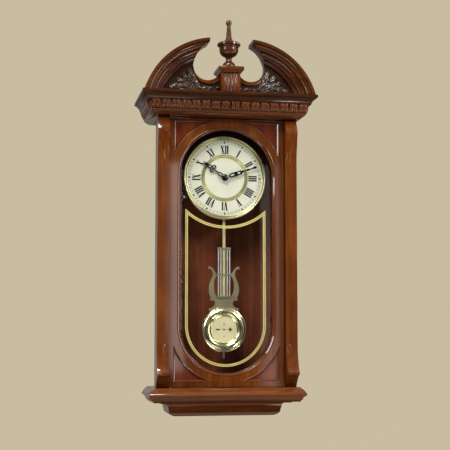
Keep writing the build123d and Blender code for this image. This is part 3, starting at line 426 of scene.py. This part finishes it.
softened = {
    # radius in mm, segments
    "case_side_left": (0.8, 2),
    "case_side_right": (0.8, 2),
    "case_bottom": (0.8, 2),
    "base_drop": (0.8, 2),
    "base_moulding": (0.7, 2),
    "bed_moulding": (0.7, 2),
    "crown_moulding": (0.7, 2),
    "dentil_moulding": (2.2, 3),
    "pilaster_left": (3.0, 4),
    "pilaster_right": (3.0, 4),
    "door_frame": (0.9, 2),
    "pediment_arch_left": (0.8, 2),
    "pediment_arch_right": (0.8, 2),
    "pediment_board_left": (0.6, 2),
    "pediment_board_right": (0.6, 2),
    "finial_plinth": (0.8, 2),
    "plinth_cap": (0.8, 2),
}


def soften(piece, radius, segments):
    """Rounds the sharp edges of a node or added piece, as sanding and lacquer leave them."""
    weld = piece.modifiers.new("weld", "WELD")
    weld.merge_threshold = 0.01 * MM
    rounding = piece.modifiers.new("rounding", "BEVEL")
    rounding.width = radius
    rounding.segments = segments
    rounding.limit_method = "ANGLE"
    rounding.angle_limit = math.radians(35)
    rounding.harden_normals = True


for name, (radius, segments) in softened.items():
    soften(nodes[name], radius * MM, segments)


# ---------------------------------------------------------------- dial print

ink_height = 0.06 * MM
numeral_foot = 62.2 * MM
numeral_head = 84.0 * MM
letter_widths = {"I": 5.3 * MM, "V": 10.6 * MM, "X": 11.2 * MM}
thick_stroke = 4.1 * MM
thin_stroke = 1.5 * MM
thick_serif = 4.9 * MM
thin_serif = 3.4 * MM
serif_height = 0.9 * MM
stroke_margin = 2.2 * MM
thin_shift = 0.6 * MM
numerals = ("XII", "I", "II", "III", "IIII", "V", "VI", "VII", "VIII", "IX", "X", "XI")

dot_ring = 91.9 * MM
dot_radius = 2.3 * MM
tick_inner = 89.0 * MM
tick_outer = 94.6 * MM
tick_width = 1.2 * MM
track_width = 0.6 * MM
tracks = {"dial_track_inner": 88.8 * MM, "dial_track_outer": 94.4 * MM}


def on_dial(across, outward, angle):
    """Dial point at a distance outward on the line at a clockwise angle, moved across that line."""
    x = dial_centre.x + outward * math.sin(angle) + across * math.cos(angle)
    z = dial_centre.z + outward * math.cos(angle) - across * math.sin(angle)
    return x, z


def bar(foot, head, width):
    """Stroke of a letter from its foot to its head, both places across the letter."""
    half = width / 2
    return ((foot - half, numeral_foot), (head - half, numeral_head),
            (head + half, numeral_head), (foot + half, numeral_foot))


def serif(across, level, width):
    """Short line across the end of a stroke."""
    left = across - width / 2
    right = across + width / 2
    low = min(level, numeral_head - serif_height)
    high = low + serif_height
    return (left, low), (left, high), (right, high), (right, low)


def letter_strokes(letter, middle):
    """Strokes of one letter of a numeral."""
    lean = letter_widths[letter] / 2 - stroke_margin
    left = middle - lean
    right = middle + lean
    if letter == "I":
        return [bar(middle, middle, thick_stroke),
                serif(middle, numeral_foot, thick_serif),
                serif(middle, numeral_head, thick_serif)]
    head_serifs = [serif(left, numeral_head, thick_serif), serif(right, numeral_head, thin_serif)]
    if letter == "V":
        return [bar(middle, left, thick_stroke),
                bar(middle + thin_shift, right, thin_stroke),
                *head_serifs]
    foot_serifs = [serif(left, numeral_foot, thin_serif), serif(right, numeral_foot, thick_serif)]
    return [bar(right, left, thick_stroke),
            bar(left, right, thin_stroke),
            *head_serifs,
            *foot_serifs]


def numeral_outlines():
    """Outlines of the twelve Roman numerals, each with its foot towards the centre."""
    outlines = []
    for hour, numeral in enumerate(numerals):
        angle = math.radians(30 * hour)
        across = -sum(letter_widths[letter] for letter in numeral) / 2
        for letter in numeral:
            across += letter_widths[letter] / 2
            for stroke in letter_strokes(letter, across):
                outlines.append([on_dial(u, v, angle) for u, v in stroke])
            across += letter_widths[letter] / 2
    return outlines


def dot_outlines():
    """Round dots at the twelve hours."""
    turns = [2 * math.pi * i / 20 for i in range(20)]
    outlines = []
    for hour in range(12):
        x, z = on_dial(0.0, dot_ring, math.radians(30 * hour))
        outlines.append([(x + dot_radius * math.sin(a), z + dot_radius * math.cos(a)) for a in turns])
    return outlines


def tick_outlines():
    """Short radial lines at the sixty minutes."""
    half = tick_width / 2
    corners = ((-half, tick_inner), (-half, tick_outer), (half, tick_outer), (half, tick_inner))
    return [[on_dial(u, v, math.radians(6 * minute)) for u, v in corners] for minute in range(60)]


def dial_lane(radius, rises, count):
    """Round lane on the dial that stands at the given rises in turn."""
    lane = []
    for i in range(count):
        x, z = on_dial(0.0, radius, 2 * math.pi * i / count)
        lane.append((x, dial_face - rises[i % len(rises)], z))
    return lane


def print_dial():
    """Numerals, hour dots and minute track."""
    marks = (
        ("dial_numerals", numeral_outlines(), print_black),
        ("dial_hour_dots", dot_outlines(), print_black),
        ("dial_minute_ticks", tick_outlines(), print_grey),
    )
    for name, outlines, ink in marks:
        shape = prisms(outlines, dial_face, ink_height)
        add_piece(name, *shape, ink, "case", "hand_black", smooth=False)
    for name, radius in tracks.items():
        lanes = [dial_lane(reach, (ink_height,), 240) for reach in (radius, radius + track_width)]
        add_piece(name, *ribbon(lanes, dial_face), print_grey, "case", "hand_black", smooth=False)


ring_inner = 51.8 * MM
ring_outer = 60.8 * MM
ring_edge = 0.7 * MM
ring_ribs = 360
ring_plain = (0.30 * MM,)
ring_ribbed = (0.30 * MM, 0.12 * MM)


def chapter_ring():
    """Raised gilt ring inside the numerals, finely ribbed across, with a smooth edge each side."""
    stations = (
        (ring_inner, ring_plain),
        (ring_inner + ring_edge, ring_plain),
        (ring_inner + 1.2 * ring_edge, ring_ribbed),
        (ring_outer - 1.2 * ring_edge, ring_ribbed),
        (ring_outer - ring_edge, ring_plain),
        (ring_outer, ring_plain),
    )
    lanes = [dial_lane(radius, rises, 2 * ring_ribs) for radius, rises in stations]
    shape = ribbon(lanes, dial_face)
    add_piece("dial_chapter_ring", *shape, ring_brass, "case", "brass_satin", smooth=False)


print_dial()
chapter_ring()


# ---------------------------------------------------------------- gilt line on the glass

glass_low, glass_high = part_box("door_glass")
glass_back = glass_high.y
gilt_inset = 18.4 * MM
gilt_width = 6.4 * MM
gilt_edge = 2.1 * MM
gilt_half = glass_high.x - gilt_inset
foot_arc_z = glass_low.z + glass_high.x
sweep_centre_z = glass_high.z - 96.5 * MM
sweep_radius = 149.6 * MM
sweep_widening = 1.05           # the line is a little wider under the dial


def gilt_lane(inward, y, count):
    """One closed lane of the gilt line: down the left, round the foot, up the right, under the dial.

    inward is the distance of the lane from the outer edge of the line, and count the numbers of
    points on a side, round the foot and under the dial.
    """
    half = gilt_half - inward
    radius = sweep_radius + sweep_widening * inward
    corner_z = sweep_centre_z - math.sqrt(radius**2 - half**2)
    side_count, foot_count, top_count = count
    points = []
    for i in range(side_count):
        points.append((-half, y, corner_z + (foot_arc_z - corner_z) * i / side_count))
    for i in range(foot_count):
        angle = math.pi * i / foot_count
        points.append((-half * math.cos(angle), y, foot_arc_z - half * math.sin(angle)))
    for i in range(side_count):
        points.append((half, y, foot_arc_z + (corner_z - foot_arc_z) * i / side_count))
    reach = math.asin(half / radius)
    for i in range(top_count):
        angle = reach * (1 - 2 * i / top_count)
        points.append((radius * math.sin(angle), y, sweep_centre_z - radius * math.cos(angle)))
    return points


def gilt_line():
    """Gilt band printed behind the glass, ribbed between two plain edges."""
    count = (250, 270, 190)
    face = glass_back + 0.02 * MM
    lanes = [gilt_lane(0.0, face, count), gilt_lane(gilt_edge, face, count)]
    for inward in (1.1 * gilt_edge, gilt_width - 1.1 * gilt_edge):
        lane = gilt_lane(inward, face, count)
        lanes.append([(x, y + i % 2 * 0.12 * MM, z) for i, (x, y, z) in enumerate(lane)])
    lanes += [gilt_lane(gilt_width - gilt_edge, face, count), gilt_lane(gilt_width, face, count)]
    shape = ribbon(lanes, glass_back + 0.2 * MM)
    line = add_piece("glass_gilt_line", *shape, gilt, "door", "brass_satin", smooth=False)
    line.data.materials.append(gilt_shade)
    row = len(lanes[0])
    for polygon in line.data.polygons[2 * row:5 * row]:
        polygon.material_index = 1


gilt_line()


# ---------------------------------------------------------------- bob, its insert and marks

bob_swell = 3.7 * MM
bob_waves = (
    # inner radius, outer radius, rise
    (33.0 * MM, 36.6 * MM, 1.6 * MM),
    (36.6 * MM, 53.6 * MM, bob_swell),
    (53.6 * MM, 56.9 * MM, 0.5 * MM),
)
insert_rings = 26
insert_relief = 0.10 * MM


def bob_shell():
    """Polished ring of the bob: a lip round the insert, a broad swell and a rolled rim."""
    low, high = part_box("bob_shell")
    turns = [2 * math.pi * i / 240 for i in range(240)]
    steps = 20
    lanes = []
    for inner, outer, rise in bob_waves:
        for step in range(steps):
            reach = inner + (outer - inner) * step / steps
            y = low.y + bob_swell - rise * math.sin(math.pi * step / steps)
            lanes.append([(bob_centre.x + reach * math.sin(a), y, bob_centre.z + reach * math.cos(a))
                          for a in turns])
    shape = ribbon(lanes, high.y)
    piece = add_piece("bob_turned_shell", *shape, polished_brass, "pendulum", "brass")
    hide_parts("bob_shell")


def bob_insert():
    """Spun brass disc with fine rings, set inside the bob's lip."""
    low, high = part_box("bob_insert")
    radius = high.x
    steps = 4 * insert_rings
    profile = [(0.0, high.y), (radius, high.y)]
    for step in range(steps + 1):
        rise = insert_relief * math.cos(math.pi * step / 2)
        profile.append((radius * (1 - step / steps), low.y + 0.12 * MM - rise))
    shape = turned(profile, bob_centre)
    piece = add_piece("bob_spun_insert", *shape, spun_brass, "pendulum", "brass_satin")
    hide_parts("bob_insert")


rating_marks = (
    # across, rise, width, height in mm: tick, dot, bar, both strokes of the cross, five scale lines
    (0.0, 13.0, 1.6, 8.0),
    (0.0, -17.0, 2.4, 2.4),
    (-16.0, 0.0, 10.0, 3.0),
    (16.0, 0.0, 10.0, 3.0),
    (16.0, 0.0, 3.0, 10.0),
    (-3.0, 0.0, 0.8, 4.0),
    (-1.5, 0.0, 0.8, 4.0),
    (0.0, 0.0, 0.8, 4.0),
    (1.5, 0.0, 0.8, 4.0),
    (3.0, 0.0, 0.8, 4.0),
)


def bob_marks():
    """Rating marks printed on the insert."""
    outlines = []
    for across, rise, width, height in rating_marks:
        left = bob_centre.x + (across - width / 2) * MM
        right = bob_centre.x + (across + width / 2) * MM
        low = bob_centre.z + (rise - height / 2) * MM
        high = bob_centre.z + (rise + height / 2) * MM
        outlines.append([(left, low), (left, high), (right, high), (right, low)])
    shape = prisms(outlines, front("bob_insert"), 0.12 * MM)
    add_piece("bob_rating_marks", *shape, print_black, "pendulum", "hand_black", smooth=False)


bob_shell()
bob_insert()
bob_marks()


# ---------------------------------------------------------------- carved leaves of the pediment

board_face = front("pediment_board_left")
leaf_back = board_face + 0.5 * MM


def bezier(points, t):
    """Point on a Bezier curve with any number of control points."""
    while len(points) > 1:
        points = [a.lerp(b, t) for a, b in zip(points, points[1:])]
    return points[0]


def leaf(route, width, rise, lobes, side):
    """Closed mesh of a carved leaf with a lobed edge, a midrib and side veins.

    route has (x, height above the cornice) control points from the stalk to the tip. The leaf is
    mirrored where side is -1.
    """
    steps = 48
    across = 12
    control = [Vector((x * MM, z * MM, 0.0)) for x, z in route]
    vertices = []
    faces = []
    row = across + 1
    for step in range(steps + 1):
        t = step / steps
        spot = bezier(control, t)
        ahead = bezier(control, min(t + 0.01, 1.0)) - bezier(control, max(t - 0.01, 0.0))
        normal = Vector((-ahead.y, ahead.x, 0.0)).normalized()
        # along the leaf: full in the middle, narrow at both ends, scalloped into its lobes
        swell = math.sin(math.pi * (0.10 + 0.86 * t)) ** 0.45
        scallop = 0.80 + 0.20 * abs(math.cos(math.pi * lobes * t))
        half = width * MM / 2 * swell * scallop
        crest = rise * MM * (0.45 + 0.55 * math.sin(math.pi * (0.12 + 0.80 * t)))
        for k in range(row):
            # across it: a midrib at s = 0, slanting veins, and both edges falling to the board
            s = 2 * k / across - 1
            x = spot.x + normal.x * half * s
            z = spot.y + normal.y * half * s
            vein = 0.10 * math.cos(2 * math.pi * (lobes * t - 0.8 * abs(s)))
            rib = 0.30 * math.exp(-(s / 0.18) ** 2)
            cup = 0.55 + 0.15 * abs(s) + vein * (1 - s * s) + rib
            edge = (1 - s**6) ** 0.5
            y = board_face - max(crest * cup * edge, 0.15 * MM)
            vertices.append((side * x, y, crown_top + z))
    count = len(vertices)
    vertices += [(x, leaf_back, z) for x, _, z in vertices]
    for step in range(steps):
        for k in range(across):
            a = step * row + k
            quad = [a, a + 1, a + row + 1, a + row]
            faces.append(quad)
            faces.append([count + i for i in reversed(quad)])
    rim = list(range(across))
    rim += [step * row + across for step in range(steps)]
    rim += [steps * row + across - k for k in range(across)]
    rim += [(steps - step) * row for step in range(steps)]
    for i, a in enumerate(rim):
        b = rim[(i + 1) % len(rim)]
        faces.append([b, a, count + a, count + b])
    if side < 0:
        faces = [list(reversed(face)) for face in faces]
    return vertices, faces


def berry(x, z, radius, side):
    """Round bead at a fork of the carving."""
    vertices = []
    faces = []
    rings = 6
    segments = 14
    for r in range(rings + 1):
        angle = math.pi / 2 * r / rings
        reach = radius * MM * math.cos(angle)
        for i in range(segments):
            turn = 2 * math.pi * i / segments
            vertices.append((side * (x * MM + reach * math.cos(turn)),
                             board_face - 2 * MM - radius * MM * math.sin(angle),
                             crown_top + z * MM + reach * math.sin(turn)))
    for r in range(rings):
        low = r * segments
        high = low + segments
        for i in range(segments):
            j = (i + 1) % segments
            faces.append([low + i, low + j, high + j, high + i])
    faces.append(list(reversed(range(segments))))
    faces.append([rings * segments + i for i in range(segments)])
    if side < 0:
        faces = [list(reversed(face)) for face in faces]
    return vertices, faces


leaves = (
    # route, width, rise, lobes, with lengths in mm
    (((28, 9), (45, 16), (58, 12), (76, 14)), 15, 5.5, 3),
    (((44, 7), (56, 5), (66, 8), (80, 7)), 10, 5.0, 2),
    (((76, 12), (88, 20), (94, 42), (101, 62)), 20, 7.6, 3),
    (((80, 12), (98, 20), (109, 36), (118, 51)), 19, 7.0, 3),
    (((84, 11), (104, 19), (120, 30), (133, 34)), 19, 7.6, 3),
    (((86, 10), (108, 16), (130, 22), (153, 11)), 19, 7.0, 4),
    (((70, 7), (90, 8), (112, 10), (136, 7)), 13, 6.0, 3),
    (((92, 8), (112, 14), (126, 20), (118, 9)), 11, 8.4, 2),
    (((92, 24), (98, 36), (108, 46), (104, 34)), 11, 9.0, 2),
)
berries = (
    # x, height above the cornice, radius in mm
    (30, 15, 4.2),
    (34, 6, 3.6),
    (75, 14, 4.8),
    (103, 42, 3.6),
    (146, 11, 3.6),
    (112, 18, 3.8),
)


def carve(side, word):
    """Leaf spray beside the eye of one scroll, in place of its plain CAD solid."""
    vertices = []
    faces = []
    shapes = [leaf(*settings, side) for settings in leaves]
    shapes += [berry(*settings, side) for settings in berries]
    for shape_vertices, shape_faces in shapes:
        start = len(vertices)
        vertices += shape_vertices
        faces += [[start + i for i in face] for face in shape_faces]
    piece = add_piece(f"carved_leaves_{word}", vertices, faces, carving, "case", "carved_wood")
    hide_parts(f"pediment_carving_{word}")


carve(-1, "left")
carve(1, "right")


# ---------------------------------------------------------------- rims of the scroll eyes

eye_x = 51.5 * MM
eye_rise = 64.8 * MM
eye_radius = 40.0 * MM
rim_shift = 4.4 * MM
rim_radius = 35.4 * MM
rim_proud = 3.5 * MM


def eye_rim(side, word):
    """Crescent-shaped bead round the lower half of a scroll eye, standing proud of its board."""
    steps = 48
    turns = [math.pi * i / steps for i in range(steps + 1)]
    eye_z = crown_top + eye_rise
    outer = [(eye_x + eye_radius * math.cos(a), eye_z - eye_radius * math.sin(a)) for a in turns]
    inner = [(eye_x + rim_shift + rim_radius * math.cos(a), eye_z + rim_shift - rim_radius * math.sin(a))
             for a in reversed(turns)]
    plinth_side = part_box("finial_plinth")[1].x + 0.2 * MM
    outline = [(side * max(x, plinth_side), z) for x, z in outer + inner]
    if side < 0:
        outline.reverse()
    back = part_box("pediment_board_left")[1].y
    shape = prisms([outline], back, back - board_face + rim_proud)
    rim = add_piece(f"scroll_eye_rim_{word}", *shape, trim, "case", "trim_wood")
    soften(rim, 2.2 * MM, 4)


eye_rim(-1, "left")
eye_rim(1, "right")


# ---------------------------------------------------------------- beads worked on the door frame

opening_half = 125.9 * MM
bevel_width = 7.4 * MM
bevel_depth = 5.0 * MM
recess_arc = 147.0 * MM
recess_edge = 131.0 * MM
recess_slope = 3.4 * MM
door_low, door_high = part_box("door_frame")
recess_top = door_high.z - 10.9 * MM
recess_bottom = door_low.z + 18.1 * MM


def opening_outline(grown):
    """Outline of the door opening, moved outwards: an upper arc, straight sides and a lower arc."""
    half = opening_half + grown
    arc_steps = 96
    side_steps = 4
    points = []
    for i in range(arc_steps):
        angle = math.pi * i / arc_steps
        points.append((half * math.cos(angle), dial_centre.z + half * math.sin(angle)))
    for i in range(side_steps):
        points.append((-half, dial_centre.z + (foot_arc_z - dial_centre.z) * i / side_steps))
    for i in range(arc_steps):
        angle = math.pi * (1 + i / arc_steps)
        points.append((half * math.cos(angle), foot_arc_z + half * math.sin(angle)))
    for i in range(side_steps):
        points.append((half, foot_arc_z + (dial_centre.z - foot_arc_z) * i / side_steps))
    return points


def corner_outline(side, arc_z, level, grown):
    """Outline of a corner recess, moved outwards: an upright, a level edge and an arc.

    arc_z is the height of the arc's centre and level that of the level edge.
    """
    rise = 1 if level > arc_z else -1
    arc = recess_arc - grown
    edge = recess_edge + grown
    height = abs(level - arc_z) + grown
    low_angle = math.acos(edge / arc)
    high_angle = math.asin(height / arc)
    low = arc * math.sin(low_angle)
    reach = arc * math.cos(high_angle)
    steps = 24
    points = []
    for i in range(steps):
        points.append((edge, low + (height - low) * i / steps))
    for i in range(steps):
        points.append((edge + (reach - edge) * i / steps, height))
    for i in range(steps):
        angle = high_angle + (low_angle - high_angle) * i / steps
        points.append((arc * math.cos(angle), arc * math.sin(angle)))
    points = [(side * x, arc_z + rise * z) for x, z in points]
    return points if side == rise else list(reversed(points))


def half_round(name, outline, level, radius):
    """Half-round bead along a closed outline, with its flat back just under the wood at y = level."""
    steps = 8
    lanes = []
    for i in range(steps + 1):
        angle = math.pi * i / steps
        y = level - radius * math.sin(angle)
        lanes.append([(x, y, z) for x, z in outline(radius * math.cos(angle))])
    add_piece(name, *ribbon(lanes, level + 0.6 * MM), trim, "door", "case_wood")


def door_beads():
    """Beads at both edges of the bevel round the opening and round the four corner recesses."""
    face = door_low.y
    half_round("door_bead_outer", lambda grown: opening_outline(grown - 1.0 * MM),
               face + 0.4 * MM, 1.5 * MM)
    half_round("door_bead_inner", lambda grown: opening_outline(grown + 1.4 * MM - bevel_width),
               face + bevel_depth - 0.8 * MM, 1.4 * MM)
    corners = (("upper", dial_centre.z, recess_top), ("lower", foot_arc_z, recess_bottom))
    for word, side in (("left", -1), ("right", 1)):
        for place, arc_z, level in corners:
            half_round(f"corner_bead_{place}_{word}",
                       lambda grown: corner_outline(side, arc_z, level, grown + recess_slope),
                       face + 0.3 * MM, 1.1 * MM)


door_beads()


# ---------------------------------------------------------------- floor, light and camera

def floor():
    """Plain pale floor some way below the clock, which hangs on a wall."""
    reach = 4.0
    level = case_foot - 4.5
    corners = [(x * reach, y * reach, level) for x, y in ((-1, -1), (1, -1), (1, 1), (-1, 1))]
    mesh = bpy.data.meshes.new("floor")
    mesh.from_pydata(corners, [], [(0, 1, 2, 3)])
    ground = bpy.data.objects.new("floor", mesh)
    bpy.context.scene.collection.objects.link(ground)
    material, tree_nodes, links, shader = new_material("pale_floor")
    tone = noise(tree_nodes, links, 3.0, detail=3.0)
    colour = ramp(tree_nodes, links, tone, [(0.3, (0.60, 0.55, 0.46)), (0.7, (0.66, 0.60, 0.51))])
    links.new(colour, shader.inputs["Base Color"])
    shader.inputs["Roughness"].default_value = 0.8
    mesh.materials.append(material)


def area_light(name, place, aim, width, height, watts, colour):
    """Soft rectangular light at a place, turned towards a point."""
    lamp = bpy.data.lights.new(name, "AREA")
    lamp.shape = "RECTANGLE"
    lamp.size = width
    lamp.size_y = height
    lamp.energy = watts
    lamp.color = colour
    fixture = bpy.data.objects.new(name, lamp)
    fixture.location = place
    fixture.rotation_euler = (Vector(aim) - Vector(place)).to_track_quat("-Z", "Y").to_euler()
    bpy.context.scene.collection.objects.link(fixture)


def room():
    """World that shows a plain beige wall and lights the clock with a room that is dim in front of it.

    The room's brightness follows the direction's y, where 0 is straight out from the wall and 1 is
    behind it, and it falls off below the clock.
    """
    world = bpy.data.worlds.new("pale_room")
    world.use_nodes = True
    tree_nodes = world.node_tree.nodes
    links = world.node_tree.links
    wall = tree_nodes["Background"]
    wall.inputs["Color"].default_value = (0.577, 0.503, 0.356, 1.0)
    surroundings = tree_nodes.new("ShaderNodeBackground")
    direction = tree_nodes.new("ShaderNodeTexCoord")
    parts = tree_nodes.new("ShaderNodeSeparateXYZ")
    links.new(direction.outputs["Generated"], parts.inputs["Vector"])

    def along(axis):
        """One axis of the direction, from 0 to 1."""
        turn = tree_nodes.new("ShaderNodeMapRange")
        turn.inputs["From Min"].default_value = -1.0
        links.new(parts.outputs[axis], turn.inputs["Value"])
        return turn.outputs["Result"]

    tone = ramp(tree_nodes, links, along("Y"),
                [(0.0, grey(0.05)), (0.14, (0.06, 0.06, 0.055)), (0.32, (0.55, 0.51, 0.45)),
                 (0.5, (0.75, 0.70, 0.62)), (0.65, (0.40, 0.38, 0.34)), (1.0, (0.30, 0.28, 0.25))])
    below = ramp(tree_nodes, links, along("Z"),
                 [(0.0, grey(0.12)), (0.3, grey(0.20)), (0.48, grey(1.0))])
    links.new(multiply(tree_nodes, links, tone, below), surroundings.inputs["Color"])
    path = tree_nodes.new("ShaderNodeLightPath")
    mix = tree_nodes.new("ShaderNodeMixShader")
    links.new(path.outputs["Is Camera Ray"], mix.inputs["Fac"])
    links.new(surroundings.outputs["Background"], mix.inputs[1])
    links.new(wall.outputs["Background"], mix.inputs[2])
    links.new(mix.outputs["Shader"], tree_nodes["World Output"].inputs["Surface"])
    bpy.context.scene.world = world
    bpy.context.scene.view_settings.view_transform = "Standard"


clock_middle = (0.0, -0.1, -0.2)
warm = (1.0, 0.96, 0.90)
neutral = (1.0, 0.98, 0.95)
lamps = (
    # name, place, aim, width, height, watts, colour
    ("window_right", (2.6, -0.4, -0.1), clock_middle, 2.0, 2.2, 60.0, (1.0, 0.97, 0.93)),
    ("window_left", (-2.4, -1.6, 0.8), clock_middle, 0.8, 1.2, 40.0, (0.96, 0.98, 1.0)),
    ("key", (-0.9, -2.1, 2.3), clock_middle, 1.5, 1.0, 135.0, (1.0, 0.97, 0.92)),
    ("fill", (2.0, -2.2, 1.0), clock_middle, 0.6, 0.6, 60.0, warm),
    ("low_fill", (-0.6, -2.2, -2.4), clock_middle, 1.4, 1.0, 11.0, (1.0, 0.94, 0.86)),
    ("lower_left", (-1.7, -1.1, -2.2), clock_middle, 0.9, 0.9, 12.0, warm),
    ("lower_right", (1.9, -1.9, -2.1), clock_middle, 0.5, 0.5, 18.0, warm),
    ("strip_left", (0.345, -3.4, -0.15), (-0.14, -0.1, -0.33), 0.07, 1.14, 0.85, neutral),
    ("strip_right", (0.87, -3.4, -0.2), (0.14, -0.1, -0.35), 0.09, 1.25, 0.6, neutral),
)


def lighting():
    """Windows either side, a high key, soft lamps and two strips mirrored in the door stiles."""
    for lamp in lamps:
        area_light(*lamp)


def camera():
    """Viewpoint a little to the left and below, level with the lower half of the case."""
    lens = bpy.data.cameras.new("camera")
    lens.lens = 88.56
    lens.sensor_width = 36.0
    view = bpy.data.objects.new("camera", lens)
    view.location = (-0.5238, -2.8592, -0.5153)
    view.rotation_euler = (math.radians(95.62), 0.0, math.radians(-10.76))
    bpy.context.scene.collection.objects.link(view)
    bpy.context.scene.camera = view


floor()
room()
lighting()
camera()
